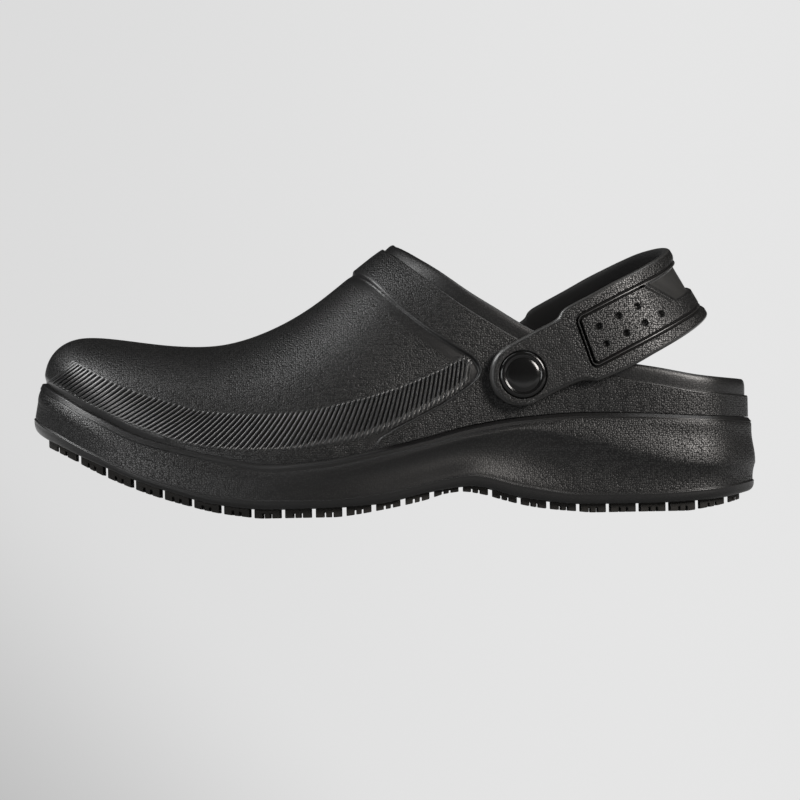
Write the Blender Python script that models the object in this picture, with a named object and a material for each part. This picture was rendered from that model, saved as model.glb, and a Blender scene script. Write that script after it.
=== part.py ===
"""Moulded work clog with a swivelling heel strap, in metres, toe towards -X, standing on its tread."""
import math
from collections import namedtuple

import bpy
import numpy as np

for leftover in list(bpy.data.objects):
    bpy.data.objects.remove(leftover, do_unlink=True)

# Sizes are millimetres from the toe tip, from the heel axis and from the floor.
MM = 0.001
TOE_FACE = 4.5
HEEL_FACE = 291.5
MID_LENGTH = 147.75
SIDE_SHIFT = 0.4

WALL = 3.6
OVERLAY_STEP = 1.2
OVERLAY_RAMP = 1.3
LIP_STEP = 1.2
LIP_THICK = 2.7
LIP_STAND = 0.25
TUCK = 1.8
SEAT_GAP = 0.3
SHEET_GAP = 0.7
RIM_GAP = 0.15
TUCK_GAP = 0.4

RIM_BEAD = 2.0
BEAD_GROOVE = 0.3
RECESS_BORDER = 1.3
RECESS_DEPTH = 2.2

INSOLE_THICK = 4.6
INSOLE_EDGE_RISE = 2.6
INSOLE_ARCH_RISE = 3.0

# Rows of tread blocks are spaced along the bent sole, from one gap under the ball towards both ends.
LUG_GAP_AT = 126.5
LUG_PITCH_FRONT = 12.5
LUG_PITCH_BACK = 12.2
LUG_GAP = 2.0
LUG_SHORTEST = 3.0
TREAD_FIRST = 6.0
TREAD_LAST = 288.4
LUG_COLUMNS = 5
LUG_COLUMN_GAP = 0.035

STRAP_TILT = 25.5
STRAP_REACH = 74.8
STRAP_THICK = 3.2
STRAP_RIM = 0.9
STRAP_RIM_WIDTH = 2.6
STRAP_END_RADIUS = 13.4
PIVOT_NEAR_AT = 200.1
PIVOT_NEAR_UP = 56.5
PIVOT_FAR_FORWARD = 11.5
STRAP_FAR_RISE = 7.8
STRAP_FAR_DROP = 0.06
STRAP_FAR_STRAIGHT = 40.0
STRAP_TWIST_WIDTH = 64.0
STRAP_NEAR_SIDE = 42.1
STRAP_FAR_SIDE = 38.5
STRAP_NEAR_TAPER = 0.13
STRAP_FAR_TAPER = 0.025
STRAP_TAPER_RUN = 25.0

BUTTON_RADIUS = 9.8
BUTTON_SEAT = 1.3
BUTTON_DOME = 2.2
STEM_RADIUS = 4.0
FOOT_RADIUS = 7.0
FOOT_THICK = 1.4
# How far the foot of each rivet stands off the inside of the wall, which leans away from its axis.
FOOT_OFF_NEAR = 1.8
FOOT_OFF_FAR = 2.8

FRONT_LINES = 17
BACK_LINES = 19
RISE_ROWS = 10
SOLE_STATIONS = 40

# One row for each section of the last: half widths at the rim line and the place of its ridge.
Section = namedtuple("Section", "at lateral medial ridge_at ridge_side fullness")
SECTIONS = (
    Section(at=4.5, lateral=-6.0, medial=6.0, ridge_at=23.5, ridge_side=6.0, fullness=2.25),
    Section(at=9.0, lateral=13.0, medial=25.5, ridge_at=25.0, ridge_side=6.0, fullness=2.25),
    Section(at=20.0, lateral=27.5, medial=39.5, ridge_at=30.5, ridge_side=5.6, fullness=2.2),
    Section(at=36.0, lateral=38.0, medial=46.5, ridge_at=41.5, ridge_side=5.0, fullness=2.3),
    Section(at=56.0, lateral=44.8, medial=50.0, ridge_at=57.5, ridge_side=4.4, fullness=2.35),
    Section(at=80.0, lateral=49.4, medial=51.2, ridge_at=80.2, ridge_side=4.0, fullness=2.3),
    Section(at=100.0, lateral=51.8, medial=49.8, ridge_at=100.0, ridge_side=3.6, fullness=2.2),
    Section(at=120.0, lateral=52.0, medial=46.5, ridge_at=120.0, ridge_side=3.2, fullness=2.1),
    Section(at=145.0, lateral=49.3, medial=41.8, ridge_at=145.0, ridge_side=2.8, fullness=2.0),
    Section(at=170.0, lateral=45.2, medial=38.0, ridge_at=170.0, ridge_side=2.2, fullness=2.0),
    Section(at=195.0, lateral=41.0, medial=36.0, ridge_at=195.0, ridge_side=1.4, fullness=2.05),
    Section(at=220.0, lateral=37.8, medial=35.3, ridge_at=220.0, ridge_side=0.6, fullness=2.1),
    Section(at=245.0, lateral=35.4, medial=34.4, ridge_at=242.0, ridge_side=0.0, fullness=2.2),
    Section(at=265.0, lateral=31.5, medial=31.0, ridge_at=253.0, ridge_side=0.0, fullness=2.2),
    Section(at=280.0, lateral=23.5, medial=23.5, ridge_at=259.0, ridge_side=0.0, fullness=2.2),
    Section(at=287.4, lateral=13.0, medial=13.0, ridge_at=261.2, ridge_side=0.0, fullness=2.2),
    Section(at=291.5, lateral=0.0, medial=0.0, ridge_at=262.0, ridge_side=0.0, fullness=2.2),
)

# Height of the instep ridge, running on above the opening as the form of the last.
Ridge = namedtuple("Ridge", "at height")
RIDGE = (
    Ridge(at=23.5, height=75.5),
    Ridge(at=33.0, height=74.8),
    Ridge(at=43.0, height=73.4),
    Ridge(at=54.0, height=71.9),
    Ridge(at=66.0, height=71.0),
    Ridge(at=76.0, height=71.3),
    Ridge(at=86.0, height=73.2),
    Ridge(at=96.0, height=76.6),
    Ridge(at=106.0, height=81.3),
    Ridge(at=118.0, height=88.8),
    Ridge(at=130.0, height=98.0),
    Ridge(at=137.0, height=103.3),
    Ridge(at=144.3, height=108.3),
    Ridge(at=155.0, height=113.5),
    Ridge(at=175.0, height=124.0),
    Ridge(at=200.0, height=134.0),
    Ridge(at=230.0, height=143.0),
    Ridge(at=262.0, height=150.0),
)

# Outer edge of the collar from the throat to the heel, and how far the thin lip stands above it.
Collar = namedtuple("Collar", "at height lip")
COLLAR = (
    Collar(at=144.3, height=108.3, lip=5.6),
    Collar(at=149.6, height=104.8, lip=6.3),
    Collar(at=154.0, height=101.4, lip=6.8),
    Collar(at=163.3, height=94.4, lip=7.4),
    Collar(at=173.8, height=86.4, lip=7.6),
    Collar(at=185.0, height=79.0, lip=7.6),
    Collar(at=197.6, height=71.2, lip=7.3),
    Collar(at=210.0, height=64.6, lip=7.2),
    Collar(at=225.0, height=58.6, lip=7.1),
    Collar(at=240.0, height=54.4, lip=7.2),
    Collar(at=256.0, height=51.3, lip=7.4),
    Collar(at=273.0, height=48.1, lip=7.4),
    Collar(at=292.7, height=46.1, lip=7.4),
)

# Rear edge of the lower vamp panel: how far back it reaches at each share of the rise to the ridge.
Panel = namedtuple("Panel", "rise reach")
PANEL = (
    Panel(rise=0.0, reach=138.0),
    Panel(rise=0.06, reach=142.5),
    Panel(rise=0.10, reach=153.0),
    Panel(rise=0.14, reach=168.0),
    Panel(rise=0.19, reach=179.0),
    Panel(rise=0.23, reach=182.9),
    Panel(rise=0.28, reach=181.2),
    Panel(rise=0.37, reach=173.4),
    Panel(rise=0.52, reach=161.2),
    Panel(rise=0.73, reach=147.0),
    Panel(rise=0.92, reach=136.6),
    Panel(rise=1.0, reach=131.6),
)
PANEL_FRONT = 60.0
PANEL_BACK = 248.0

# One row for each section of the sole's side: heights from the floor, outsets from the rim line of the upper.
Side = namedtuple("Side", "at rim bed proud sculpt belly hollow lip flare foam edge")
SIDES = (
    # at, rim, bed, proud, sculpt, belly, hollow, lip, flare, foam, edge
    Side(4.5, 57.2, 48.5, 1.4, 49.5, 2.9, 0.0, 42.6, 4.5, 36.0, 0.6),
    Side(10.0, 53.0, 45.0, 1.6, 45.5, 3.1, 0.0, 37.6, 4.2, 32.4, 0.8),
    Side(26.0, 43.3, 36.4, 1.6, 35.5, 3.2, 0.0, 27.6, 4.0, 24.0, 1.0),
    Side(43.5, 34.4, 28.2, 1.5, 26.5, 3.2, 0.0, 18.6, 4.0, 16.0, 1.3),
    Side(58.0, 30.0, 24.0, 1.3, 21.5, 3.1, 0.0, 13.6, 4.0, 10.8, 1.5),
    Side(75.0, 25.8, 19.8, 1.2, 16.5, 3.0, 0.0, 9.0, 4.0, 5.9, 1.6),
    Side(97.0, 22.0, 16.4, 1.2, 13.8, 2.9, 0.2, 6.9, 4.0, 3.5, 1.6),
    Side(118.0, 23.3, 17.0, 1.5, 16.6, 3.0, 0.7, 6.6, 4.0, 3.7, 1.7),
    Side(140.0, 27.4, 19.6, 2.1, 21.8, 3.4, 1.6, 8.6, 4.1, 5.0, 1.8),
    Side(162.0, 32.4, 23.2, 2.2, 27.6, 3.6, 2.4, 13.2, 4.0, 9.6, 1.7),
    Side(178.0, 36.4, 26.2, 2.2, 31.4, 3.6, 2.8, 15.9, 3.9, 11.6, 1.6),
    Side(200.0, 39.6, 28.8, 2.2, 34.2, 3.6, 2.8, 11.0, 4.0, 6.3, 1.7),
    Side(225.0, 41.0, 30.0, 2.2, 29.6, 3.7, 2.0, 7.3, 4.1, 3.5, 1.6),
    Side(250.0, 40.3, 30.0, 2.3, 22.4, 3.9, 1.0, 7.2, 4.0, 3.4, 1.2),
    Side(272.0, 39.0, 30.0, 2.3, 20.0, 3.9, 0.3, 8.4, 3.8, 4.2, 0.4),
    Side(291.5, 38.0, 30.3, 2.4, 19.4, 3.8, 0.0, 12.0, 3.1, 7.4, -1.2),
)

# Height of the tread's ground side, flat on the floor under the ball and the heel.
Tread = namedtuple("Tread", "at height")
TREAD = (
    Tread(at=4.5, height=31.6),
    Tread(at=17.0, height=25.0),
    Tread(at=28.0, height=19.0),
    Tread(at=39.0, height=14.0),
    Tread(at=50.5, height=9.6),
    Tread(at=62.4, height=5.9),
    Tread(at=75.0, height=2.6),
    Tread(at=85.0, height=1.0),
    Tread(at=93.5, height=0.0),
    Tread(at=122.0, height=0.0),
    Tread(at=131.0, height=0.9),
    Tread(at=138.0, height=2.0),
    Tread(at=148.0, height=3.8),
    Tread(at=160.0, height=6.4),
    Tread(at=168.0, height=8.8),
    Tread(at=175.0, height=9.6),
    Tread(at=183.0, height=8.4),
    Tread(at=192.0, height=5.8),
    Tread(at=202.0, height=3.2),
    Tread(at=212.0, height=1.6),
    Tread(at=222.0, height=0.6),
    Tread(at=229.0, height=0.0),
    Tread(at=266.0, height=0.0),
    Tread(at=274.0, height=1.1),
    Tread(at=281.0, height=2.4),
    Tread(at=288.0, height=4.4),
    Tread(at=292.7, height=6.4),
)

# Edges of the strap along its reach from the pivot, square to the way it points.
Band = namedtuple("Band", "along lower upper")
BANDS = (
    Band(along=0.0, lower=-13.4, upper=13.4),
    Band(along=21.5, lower=-13.6, upper=13.6),
    Band(along=28.0, lower=-16.8, upper=16.5),
    Band(along=46.0, lower=-17.6, upper=15.6),
    Band(along=62.0, lower=-16.4, upper=15.0),
    Band(along=74.8, lower=-14.2, upper=14.6),
)


def column(table, name):
    """The values of one named column."""
    return np.array([getattr(row, name) for row in table])


def spline(keys, values, loop=False):
    """A smooth cubic through the rows, closed on itself for a loop and flat at both ends otherwise."""
    keys = np.asarray(keys, float)
    values = np.asarray(values, float)
    count = len(keys)
    gaps = np.diff(keys)
    grid = np.zeros((count, count))
    right = np.zeros(count)
    for k in range(1, count - 1):
        grid[k, k - 1] = gaps[k - 1]
        grid[k, k] = 2.0 * (gaps[k - 1] + gaps[k])
        grid[k, k + 1] = gaps[k]
        right[k] = 6.0 * ((values[k + 1] - values[k]) / gaps[k] - (values[k] - values[k - 1]) / gaps[k - 1])
    if loop:
        grid[0, 0] = 1.0
        grid[0, -1] = -1.0
        grid[-1, 0] = 2.0 * gaps[0]
        grid[-1, 1] = gaps[0]
        grid[-1, -2] = gaps[-1]
        grid[-1, -1] = 2.0 * gaps[-1]
        right[-1] = 6.0 * ((values[1] - values[0]) / gaps[0] - (values[-1] - values[-2]) / gaps[-1])
    else:
        grid[0, 0] = 2.0 * gaps[0]
        grid[0, 1] = gaps[0]
        right[0] = 6.0 * (values[1] - values[0]) / gaps[0]
        grid[-1, -2] = gaps[-1]
        grid[-1, -1] = 2.0 * gaps[-1]
        right[-1] = -6.0 * (values[-1] - values[-2]) / gaps[-1]
    bends = np.linalg.solve(grid, right)

    def curve(at):
        at = np.clip(np.asarray(at, float), keys[0], keys[-1])
        k = np.clip(np.searchsorted(keys, at, side="right") - 1, 0, count - 2)
        gap = gaps[k]
        far = (at - keys[k]) / gap
        near = 1.0 - far
        lift = ((near**3 - near) * bends[k] + (far**3 - far) * bends[k + 1]) * gap**2 / 6.0
        return near * values[k] + far * values[k + 1] + lift

    return curve


def steady(keys, values, level_ends=False):
    """A curve through the rows that never swings past them, so flat runs stay flat."""
    keys = np.asarray(keys, float)
    values = np.asarray(values, float)
    gaps = np.diff(keys)
    slopes = np.diff(values) / gaps
    lean = np.zeros(len(keys))
    for k in range(1, len(keys) - 1):
        if slopes[k - 1] * slopes[k] > 0.0:
            first = 2.0 * gaps[k] + gaps[k - 1]
            second = gaps[k] + 2.0 * gaps[k - 1]
            lean[k] = (first + second) / (first / slopes[k - 1] + second / slopes[k])
    if not level_ends:
        lean[0] = slopes[0]
        lean[-1] = slopes[-1]

    def curve(at):
        at = np.clip(np.asarray(at, float), keys[0], keys[-1])
        k = np.clip(np.searchsorted(keys, at, side="right") - 1, 0, len(keys) - 2)
        gap = gaps[k]
        t = (at - keys[k]) / gap
        start = values[k] * (1.0 + 2.0 * t) * (1.0 - t) ** 2 + gap * lean[k] * t * (1.0 - t) ** 2
        end = values[k + 1] * t**2 * (3.0 - 2.0 * t) + gap * lean[k + 1] * t**2 * (t - 1.0)
        return start + end

    return curve


def turn_of(at):
    """The angle round the outline of a distance from the toe, 0 at the toe and pi at the heel."""
    share = (np.asarray(at, float) - TOE_FACE) / (HEEL_FACE - TOE_FACE)
    return np.arccos(np.clip(1.0 - 2.0 * share, -1.0, 1.0))


def at_of(turn):
    """The distance from the toe of an angle round the outline."""
    return TOE_FACE + (HEEL_FACE - TOE_FACE) * (1.0 - np.cos(turn)) / 2.0


TURNS = turn_of(column(SECTIONS, "at"))
ROUND = np.concatenate([TURNS, (2.0 * math.pi - TURNS)[-2::-1]])
outline_side = spline(
    ROUND, np.concatenate([-column(SECTIONS, "lateral"), column(SECTIONS, "medial")[-2::-1]]), loop=True
)
ridge_at = spline(TURNS, column(SECTIONS, "ridge_at"))
ridge_side = spline(TURNS, column(SECTIONS, "ridge_side"))
fullness = spline(TURNS, column(SECTIONS, "fullness"))
ridge_height = spline(column(RIDGE, "at"), column(RIDGE, "height"))
collar_height = steady(column(COLLAR, "at"), column(COLLAR, "height"))
lip_height = steady(column(COLLAR, "at"), column(COLLAR, "lip"))
panel_reach = steady(column(PANEL, "rise"), column(PANEL, "reach"))
tread_height = steady(column(TREAD, "at"), column(TREAD, "height"))
band_lower = steady(column(BANDS, "along"), column(BANDS, "lower"))
band_upper = steady(column(BANDS, "along"), column(BANDS, "upper"))
side_turns = turn_of(column(SIDES, "at"))
side = {name: steady(side_turns, column(SIDES, name), level_ends=True) for name in Side._fields[1:]}


def side_value(name, turn):
    """One named column of the sole's side at an angle round the outline, alike on both sides."""
    turn = np.asarray(turn, float)
    return side[name](np.where(turn > math.pi, 2.0 * math.pi - turn, turn))


def outline_point(turn):
    """Rim line of the upper seen from above, as distance from the toe and from the axis."""
    turn = np.asarray(turn, float)
    return np.stack([at_of(turn), outline_side(turn)], axis=-1)


def outline_normal(turn):
    """Outward direction of the rim line, seen from above."""
    ahead = outline_point(np.mod(np.asarray(turn, float) + 1e-4, 2.0 * math.pi))
    behind = outline_point(np.mod(np.asarray(turn, float) - 1e-4, 2.0 * math.pi))
    along = ahead - behind
    out = np.stack([along[..., 1], -along[..., 0]], axis=-1)
    return out / np.linalg.norm(out, axis=-1, keepdims=True)


def last_point(at, rise, medial):
    """A point of the last: a section's distance from the toe, its share of the rise, and the side."""
    half = turn_of(at)
    foot = outline_point(np.where(medial, 2.0 * math.pi - half, half))
    top = np.stack([ridge_at(half), ridge_side(half)], axis=-1)
    power = fullness(half)
    spread = (1.0 - np.clip(rise, 0.0, 1.0) ** power) ** (1.0 / power)
    plan = top + (foot - top) * spread[..., None]
    low = side_value("rim", half)
    height = low + (ridge_height(ridge_at(half)) - low) * rise
    return np.concatenate([plan, height[..., None]], axis=-1)


def panel_share(at):
    """How strongly a line of the upper follows the rear edge of the vamp panel."""
    edge = PANEL[0].reach
    front = np.clip((at - PANEL_FRONT) / (edge - PANEL_FRONT), 0.0, 1.0)
    back = np.clip((PANEL_BACK - at) / (PANEL_BACK - edge), 0.0, 1.0)
    return np.where(at < edge, front, back)


def line_at(foot_at, rise):
    """Where a line of the upper that starts at foot_at lies at a share of the rise."""
    return foot_at + panel_share(foot_at) * (panel_reach(rise) - PANEL[0].reach)


def line_end(foot_at, medial):
    """The share of the rise at which a line meets the collar, or 1 where it reaches the ridge."""
    low, high = 0.0, 1.0
    for _ in range(60):
        middle = (low + high) / 2.0
        at = np.array([line_at(np.array([foot_at]), np.array([middle]))[0]])
        point = last_point(at, np.array([middle]), np.array([medial]))[0]
        if point[2] < collar_height(point[0]):
            low = middle
        else:
            high = middle
    return low


def solid(name, points, faces, color, rough):
    """A named mesh object from points in millimetres, with its own material."""
    points = np.asarray(points, float)
    placed = np.stack([points[:, 0] - MID_LENGTH, points[:, 1] + SIDE_SHIFT, points[:, 2]], axis=-1) * MM
    mesh = bpy.data.meshes.new(name)
    mesh.from_pydata(placed.tolist(), [], [list(face) for face in faces])
    mesh.validate()
    made = bpy.data.objects.new(name, mesh)
    bpy.context.scene.collection.objects.link(made)
    bpy.ops.object.select_all(action="DESELECT")
    bpy.context.view_layer.objects.active = made
    made.select_set(True)
    bpy.ops.object.mode_set(mode="EDIT")
    bpy.ops.mesh.select_all(action="SELECT")
    bpy.ops.mesh.remove_doubles(threshold=1e-6)
    bpy.ops.mesh.normals_make_consistent(inside=False)
    bpy.ops.object.mode_set(mode="OBJECT")
    surface = bpy.data.materials.new(name)
    surface.use_nodes = True
    shader = surface.node_tree.nodes["Principled BSDF"]
    shader.inputs["Base Color"].default_value = (*color, 1.0)
    shader.inputs["Roughness"].default_value = rough
    mesh.materials.append(surface)
    return made


def grid_normals(points, faces):
    """Area-weighted normals of a mesh's points."""
    points = np.asarray(points, float)
    normals = np.zeros_like(points)
    for a, b, c, d in faces:
        across = np.cross(points[c] - points[a], points[d] - points[b])
        for k in {a, b, c, d}:
            normals[k] += across
    return normals / np.linalg.norm(normals, axis=1, keepdims=True)


def upper_lines():
    """Foot stations of the upper's lines, with the numbers of the panel edge and the throat."""
    edge = PANEL[0].reach
    front = at_of(np.linspace(0.0, turn_of(edge), FRONT_LINES))
    throat = COLLAR[0].at
    low, high = edge, edge + 40.0
    for _ in range(60):
        middle = (low + high) / 2.0
        if line_at(np.array([middle]), np.array([1.0]))[0] < throat:
            low = middle
        else:
            high = middle
    between = np.array([edge + OVERLAY_RAMP, (edge + OVERLAY_RAMP + low) / 2.0, low])
    shares = np.linspace(0.0, 1.0, BACK_LINES)[1:] ** 1.7
    back = at_of(turn_of(low) + (math.pi - turn_of(low)) * shares)
    feet = np.concatenate([front, between, back])
    return feet, FRONT_LINES - 1, FRONT_LINES + 2


def make_upper():
    """The hollow foam shell, from the tuck inside the sole's rim to the lip of the collar."""
    feet, edge_line, throat_line = upper_lines()
    last_line = len(feet) - 1
    index = {}
    points = []
    raised = []
    for medial in (False, True):
        for i, foot in enumerate(feet):
            end = 1.0 if i <= throat_line else line_end(foot, medial)
            power = float(fullness(turn_of(foot)))
            top = math.asin(min(1.0, end ** (power / 2.0)))
            for j in range(RISE_ROWS + 1):
                joined = i in (0, last_line) or (j == RISE_ROWS and i <= throat_line)
                if medial and joined:
                    index[medial, i, j] = index[False, i, j]
                    continue
                rise = np.array([math.sin(top * j / RISE_ROWS) ** (2.0 / power)])
                at = line_at(np.array([foot]), rise)
                index[medial, i, j] = len(points)
                points.append(last_point(at, rise, np.array([medial]))[0])
                raised.append(OVERLAY_STEP if i > edge_line else 0.0)
    points = np.array(points)
    raised = np.array(raised)
    skin = []
    for medial in (False, True):
        for i in range(last_line):
            for j in range(RISE_ROWS):
                corners = [index[medial, i + di, j + dj] for di, dj in ((0, 0), (1, 0), (1, 1), (0, 1))]
                skin.append(corners[::-1] if medial else corners)
    normals = grid_normals(points, skin)
    count = len(points)
    outer = points + normals * raised[:, None]
    inner = points - normals * WALL

    # The collar's edge runs from the throat along one side to the heel and back along the other.
    loop = [index[False, i, RISE_ROWS] for i in range(throat_line, last_line + 1)]
    loop += [index[True, i, RISE_ROWS] for i in range(last_line - 1, throat_line, -1)]
    base = [index[False, i, 0] for i in range(last_line + 1)]
    base += [index[True, i, 0] for i in range(last_line - 1, 0, -1)]
    turns = list(turn_of(feet)) + list(2.0 * math.pi - turn_of(feet[last_line - 1 : 0 : -1]))

    rings = []
    along = np.roll(outer[loop], -1, axis=0) - np.roll(outer[loop], 1, axis=0)
    across = np.cross(normals[loop], along)
    across /= np.linalg.norm(across, axis=1, keepdims=True)
    across = np.where((across[:, 2] < 0.0)[:, None], -across, across)
    upward = across + np.array([0.0, 0.0, LIP_STAND])
    upward /= np.linalg.norm(upward, axis=1, keepdims=True)
    lips = lip_height(outer[loop][:, 0])[:, None]
    rings.append(outer[loop] - normals[loop] * LIP_STEP)
    rings.append(outer[loop] - normals[loop] * (LIP_STEP + 0.1) + upward * lips * 0.9)
    rings.append(outer[loop] - normals[loop] * (LIP_STEP + LIP_THICK * 0.5) + upward * lips)
    rings.append(outer[loop] - normals[loop] * (LIP_STEP + LIP_THICK) + upward * lips * 0.88)
    plan = outline_normal(np.array(turns))
    inset = np.concatenate([plan, np.zeros((len(plan), 1))], axis=1) * TUCK
    foot_edge = points[base] + np.array([0.0, 0.0, RIM_GAP])
    low = side_value("bed", np.array(turns)) + SEAT_GAP
    tuck_top = foot_edge - inset
    tuck_low = tuck_top.copy()
    tuck_low[:, 2] = low
    wall_low = inner[base].copy()
    wall_low[:, 2] = low
    outer[base] = outer[base] + np.array([0.0, 0.0, RIM_GAP])

    vertices = list(outer) + list(inner)
    faces = list(skin)
    faces += [[count + k for k in face[::-1]] for face in skin]

    def add_ring(ring):
        start = len(vertices)
        vertices.extend(ring)
        return list(range(start, start + len(ring)))

    def bridge(first, second):
        for k in range(len(first)):
            after = (k + 1) % len(first)
            faces.append([first[k], first[after], second[after], second[k]])

    chain = [loop] + [add_ring(ring) for ring in rings] + [[count + k for k in loop]]
    for first, second in zip(chain, chain[1:]):
        bridge(first, second)
    chain = [base, add_ring(tuck_top), add_ring(tuck_low), add_ring(wall_low), [count + k for k in base]]
    for first, second in zip(chain, chain[1:]):
        bridge(first, second)
    return solid("upper", vertices, faces, (0.025, 0.025, 0.027), 0.55)


def ring_turns(count):
    """Angles round the outline, from the toe along the lateral side to the heel and back."""
    half = np.linspace(0.0, math.pi, count + 1)
    return np.concatenate([half, (2.0 * math.pi - half)[-2:0:-1]])


def offset_ring(turns, outset, height):
    """The rim line moved outwards and set to a height."""
    plan = outline_point(turns) + outline_normal(turns) * np.asarray(outset)[..., None]
    return np.concatenate([plan, np.broadcast_to(height, turns.shape)[:, None]], axis=1)


def ladder(faces, ring, count, flip):
    """Fills a ring with strips across it, from its lateral stations to its medial ones."""
    size = len(ring)
    for k in range(count):
        quad = [ring[k], ring[k + 1], ring[(size - k - 1) % size], ring[(size - k) % size]]
        quad = list(dict.fromkeys(quad))
        faces.append(quad[::-1] if flip else quad)


def make_midsole():
    """The foam cup sole: rim, bead, sculpted side, lower lip, and the recess for the tread."""
    turns = ring_turns(SOLE_STATIONS)
    value = {name: side_value(name, turns) for name in Side._fields[1:]}
    rim = value["rim"] - RIM_GAP
    proud = value["proud"]
    crest = value["belly"]
    under = rim - RIM_BEAD - BEAD_GROOVE
    inside = np.full(len(turns), TUCK_GAP - TUCK)
    border = value["edge"] - RECESS_BORDER
    profile = (
        (inside, value["bed"]),
        (inside, rim),
        (proud, rim),
        (proud + 0.25, rim - RIM_BEAD * 0.5),
        (proud + 0.15, rim - RIM_BEAD),
        (proud - 0.2, under),
        (0.4 * proud + 0.6 * crest, 0.5 * (under + value["sculpt"])),
        (crest, value["sculpt"]),
        (0.5 * (crest + value["flare"]) - value["hollow"], 0.5 * (value["sculpt"] + value["lip"])),
        (value["flare"] - 0.3 - 0.25 * value["hollow"], value["lip"] + 1.5),
        (value["flare"], value["lip"]),
        (0.75 * value["flare"] + 0.25 * value["edge"], value["lip"] - 0.3 * (value["lip"] - value["foam"])),
        (value["edge"], value["foam"]),
        (border, value["foam"]),
        (border, value["foam"] + RECESS_DEPTH),
    )
    vertices = []
    faces = []
    rings = []
    for outset, height in profile:
        start = len(vertices)
        vertices.extend(offset_ring(turns, outset, height))
        rings.append(list(range(start, start + len(turns))))
    for first, second in zip(rings, rings[1:]):
        for k in range(len(turns)):
            after = (k + 1) % len(turns)
            faces.append([first[k], first[after], second[after], second[k]])
    ladder(faces, rings[0], SOLE_STATIONS, False)
    ladder(faces, rings[-1], SOLE_STATIONS, True)
    return solid("midsole", vertices, faces, (0.022, 0.022, 0.024), 0.6)


def sole_bottom(at, outset):
    """Lateral edge, medial edge and foam height of the sole's bottom at a distance from the toe."""
    turns = np.linspace(0.0, math.pi, SOLE_STATIONS + 1)
    found = []
    for way in (turns, 2.0 * math.pi - turns):
        ring = outline_point(way) + outline_normal(way) * (side_value("edge", way) + outset)[:, None]
        found.append(float(np.interp(at, ring[:, 0], ring[:, 1])))
        height = float(np.interp(at, ring[:, 0], side_value("foam", way)))
    return found[0], found[1], height


def lug_gaps():
    """Middles of the gaps between the rows of tread blocks, evenly spaced along the bent sole."""
    at = np.linspace(TREAD_FIRST, TREAD_LAST, 2001)
    run = np.concatenate([[0.0], np.cumsum(np.hypot(np.diff(at), np.diff(tread_height(at))))])
    middle = float(np.interp(LUG_GAP_AT, at, run))
    front = np.arange(middle, LUG_SHORTEST, -LUG_PITCH_FRONT)[::-1]
    back = np.arange(middle + LUG_PITCH_BACK, run[-1] - LUG_SHORTEST, LUG_PITCH_BACK)
    return np.interp(np.concatenate([front, back]), run, at)


def make_outsole():
    """The rubber sheet in the sole's recess, with tread blocks pressed out of its ground side."""
    gaps = lug_gaps()
    starts = np.concatenate([[TREAD_FIRST], gaps + LUG_GAP / 2.0])
    ends = np.concatenate([gaps - LUG_GAP / 2.0, [TREAD_LAST]])
    stations = []
    for start, end in zip(starts, ends):
        stations.append((start, True))
        stations.append((end, False))
    shares = []
    for k in range(LUG_COLUMNS):
        low = k / LUG_COLUMNS + (LUG_COLUMN_GAP / 2.0 if k else 0.0)
        high = (k + 1) / LUG_COLUMNS - (LUG_COLUMN_GAP / 2.0 if k < LUG_COLUMNS - 1 else 0.0)
        shares += [low, high]
    across = len(shares)
    vertices = []
    faces = []

    def add(at, share, above, ground=None):
        lateral, medial, foam = sole_bottom(at, -RECESS_BORDER - SEAT_GAP)
        height = foam + above if ground is None else ground
        vertices.append((at, lateral + (medial - lateral) * share, height))
        return len(vertices) - 1

    top = [[add(at, share, RECESS_DEPTH - SHEET_GAP) for share in shares] for at, _ in stations]
    low = [[add(at, share, 0.0) for share in shares] for at, _ in stations]
    for i in range(len(stations) - 1):
        for j in range(across - 1):
            faces.append([top[i][j], top[i + 1][j], top[i + 1][j + 1], top[i][j + 1]])
            quad = [low[i][j], low[i][j + 1], low[i + 1][j + 1], low[i + 1][j]]
            if not stations[i][1] or j % 2:
                faces.append(quad)
                continue
            ground = []
            for di, dj in ((0, 0), (0, 1), (1, 1), (1, 0)):
                at = stations[i + di][0]
                ground.append(add(at, shares[j + dj], 0.0, float(tread_height(at))))
            faces.append(ground)
            for k in range(4):
                after = (k + 1) % 4
                faces.append([quad[k], quad[after], ground[after], ground[k]])
    for i in range(len(stations) - 1):
        for j in (0, across - 1):
            faces.append([top[i][j], top[i + 1][j], low[i + 1][j], low[i][j]])
    for i in (0, len(stations) - 1):
        for j in range(across - 1):
            faces.append([top[i][j], top[i][j + 1], low[i][j + 1], low[i][j]])
    return solid("outsole", vertices, faces, (0.03, 0.03, 0.03), 0.7)


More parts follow.
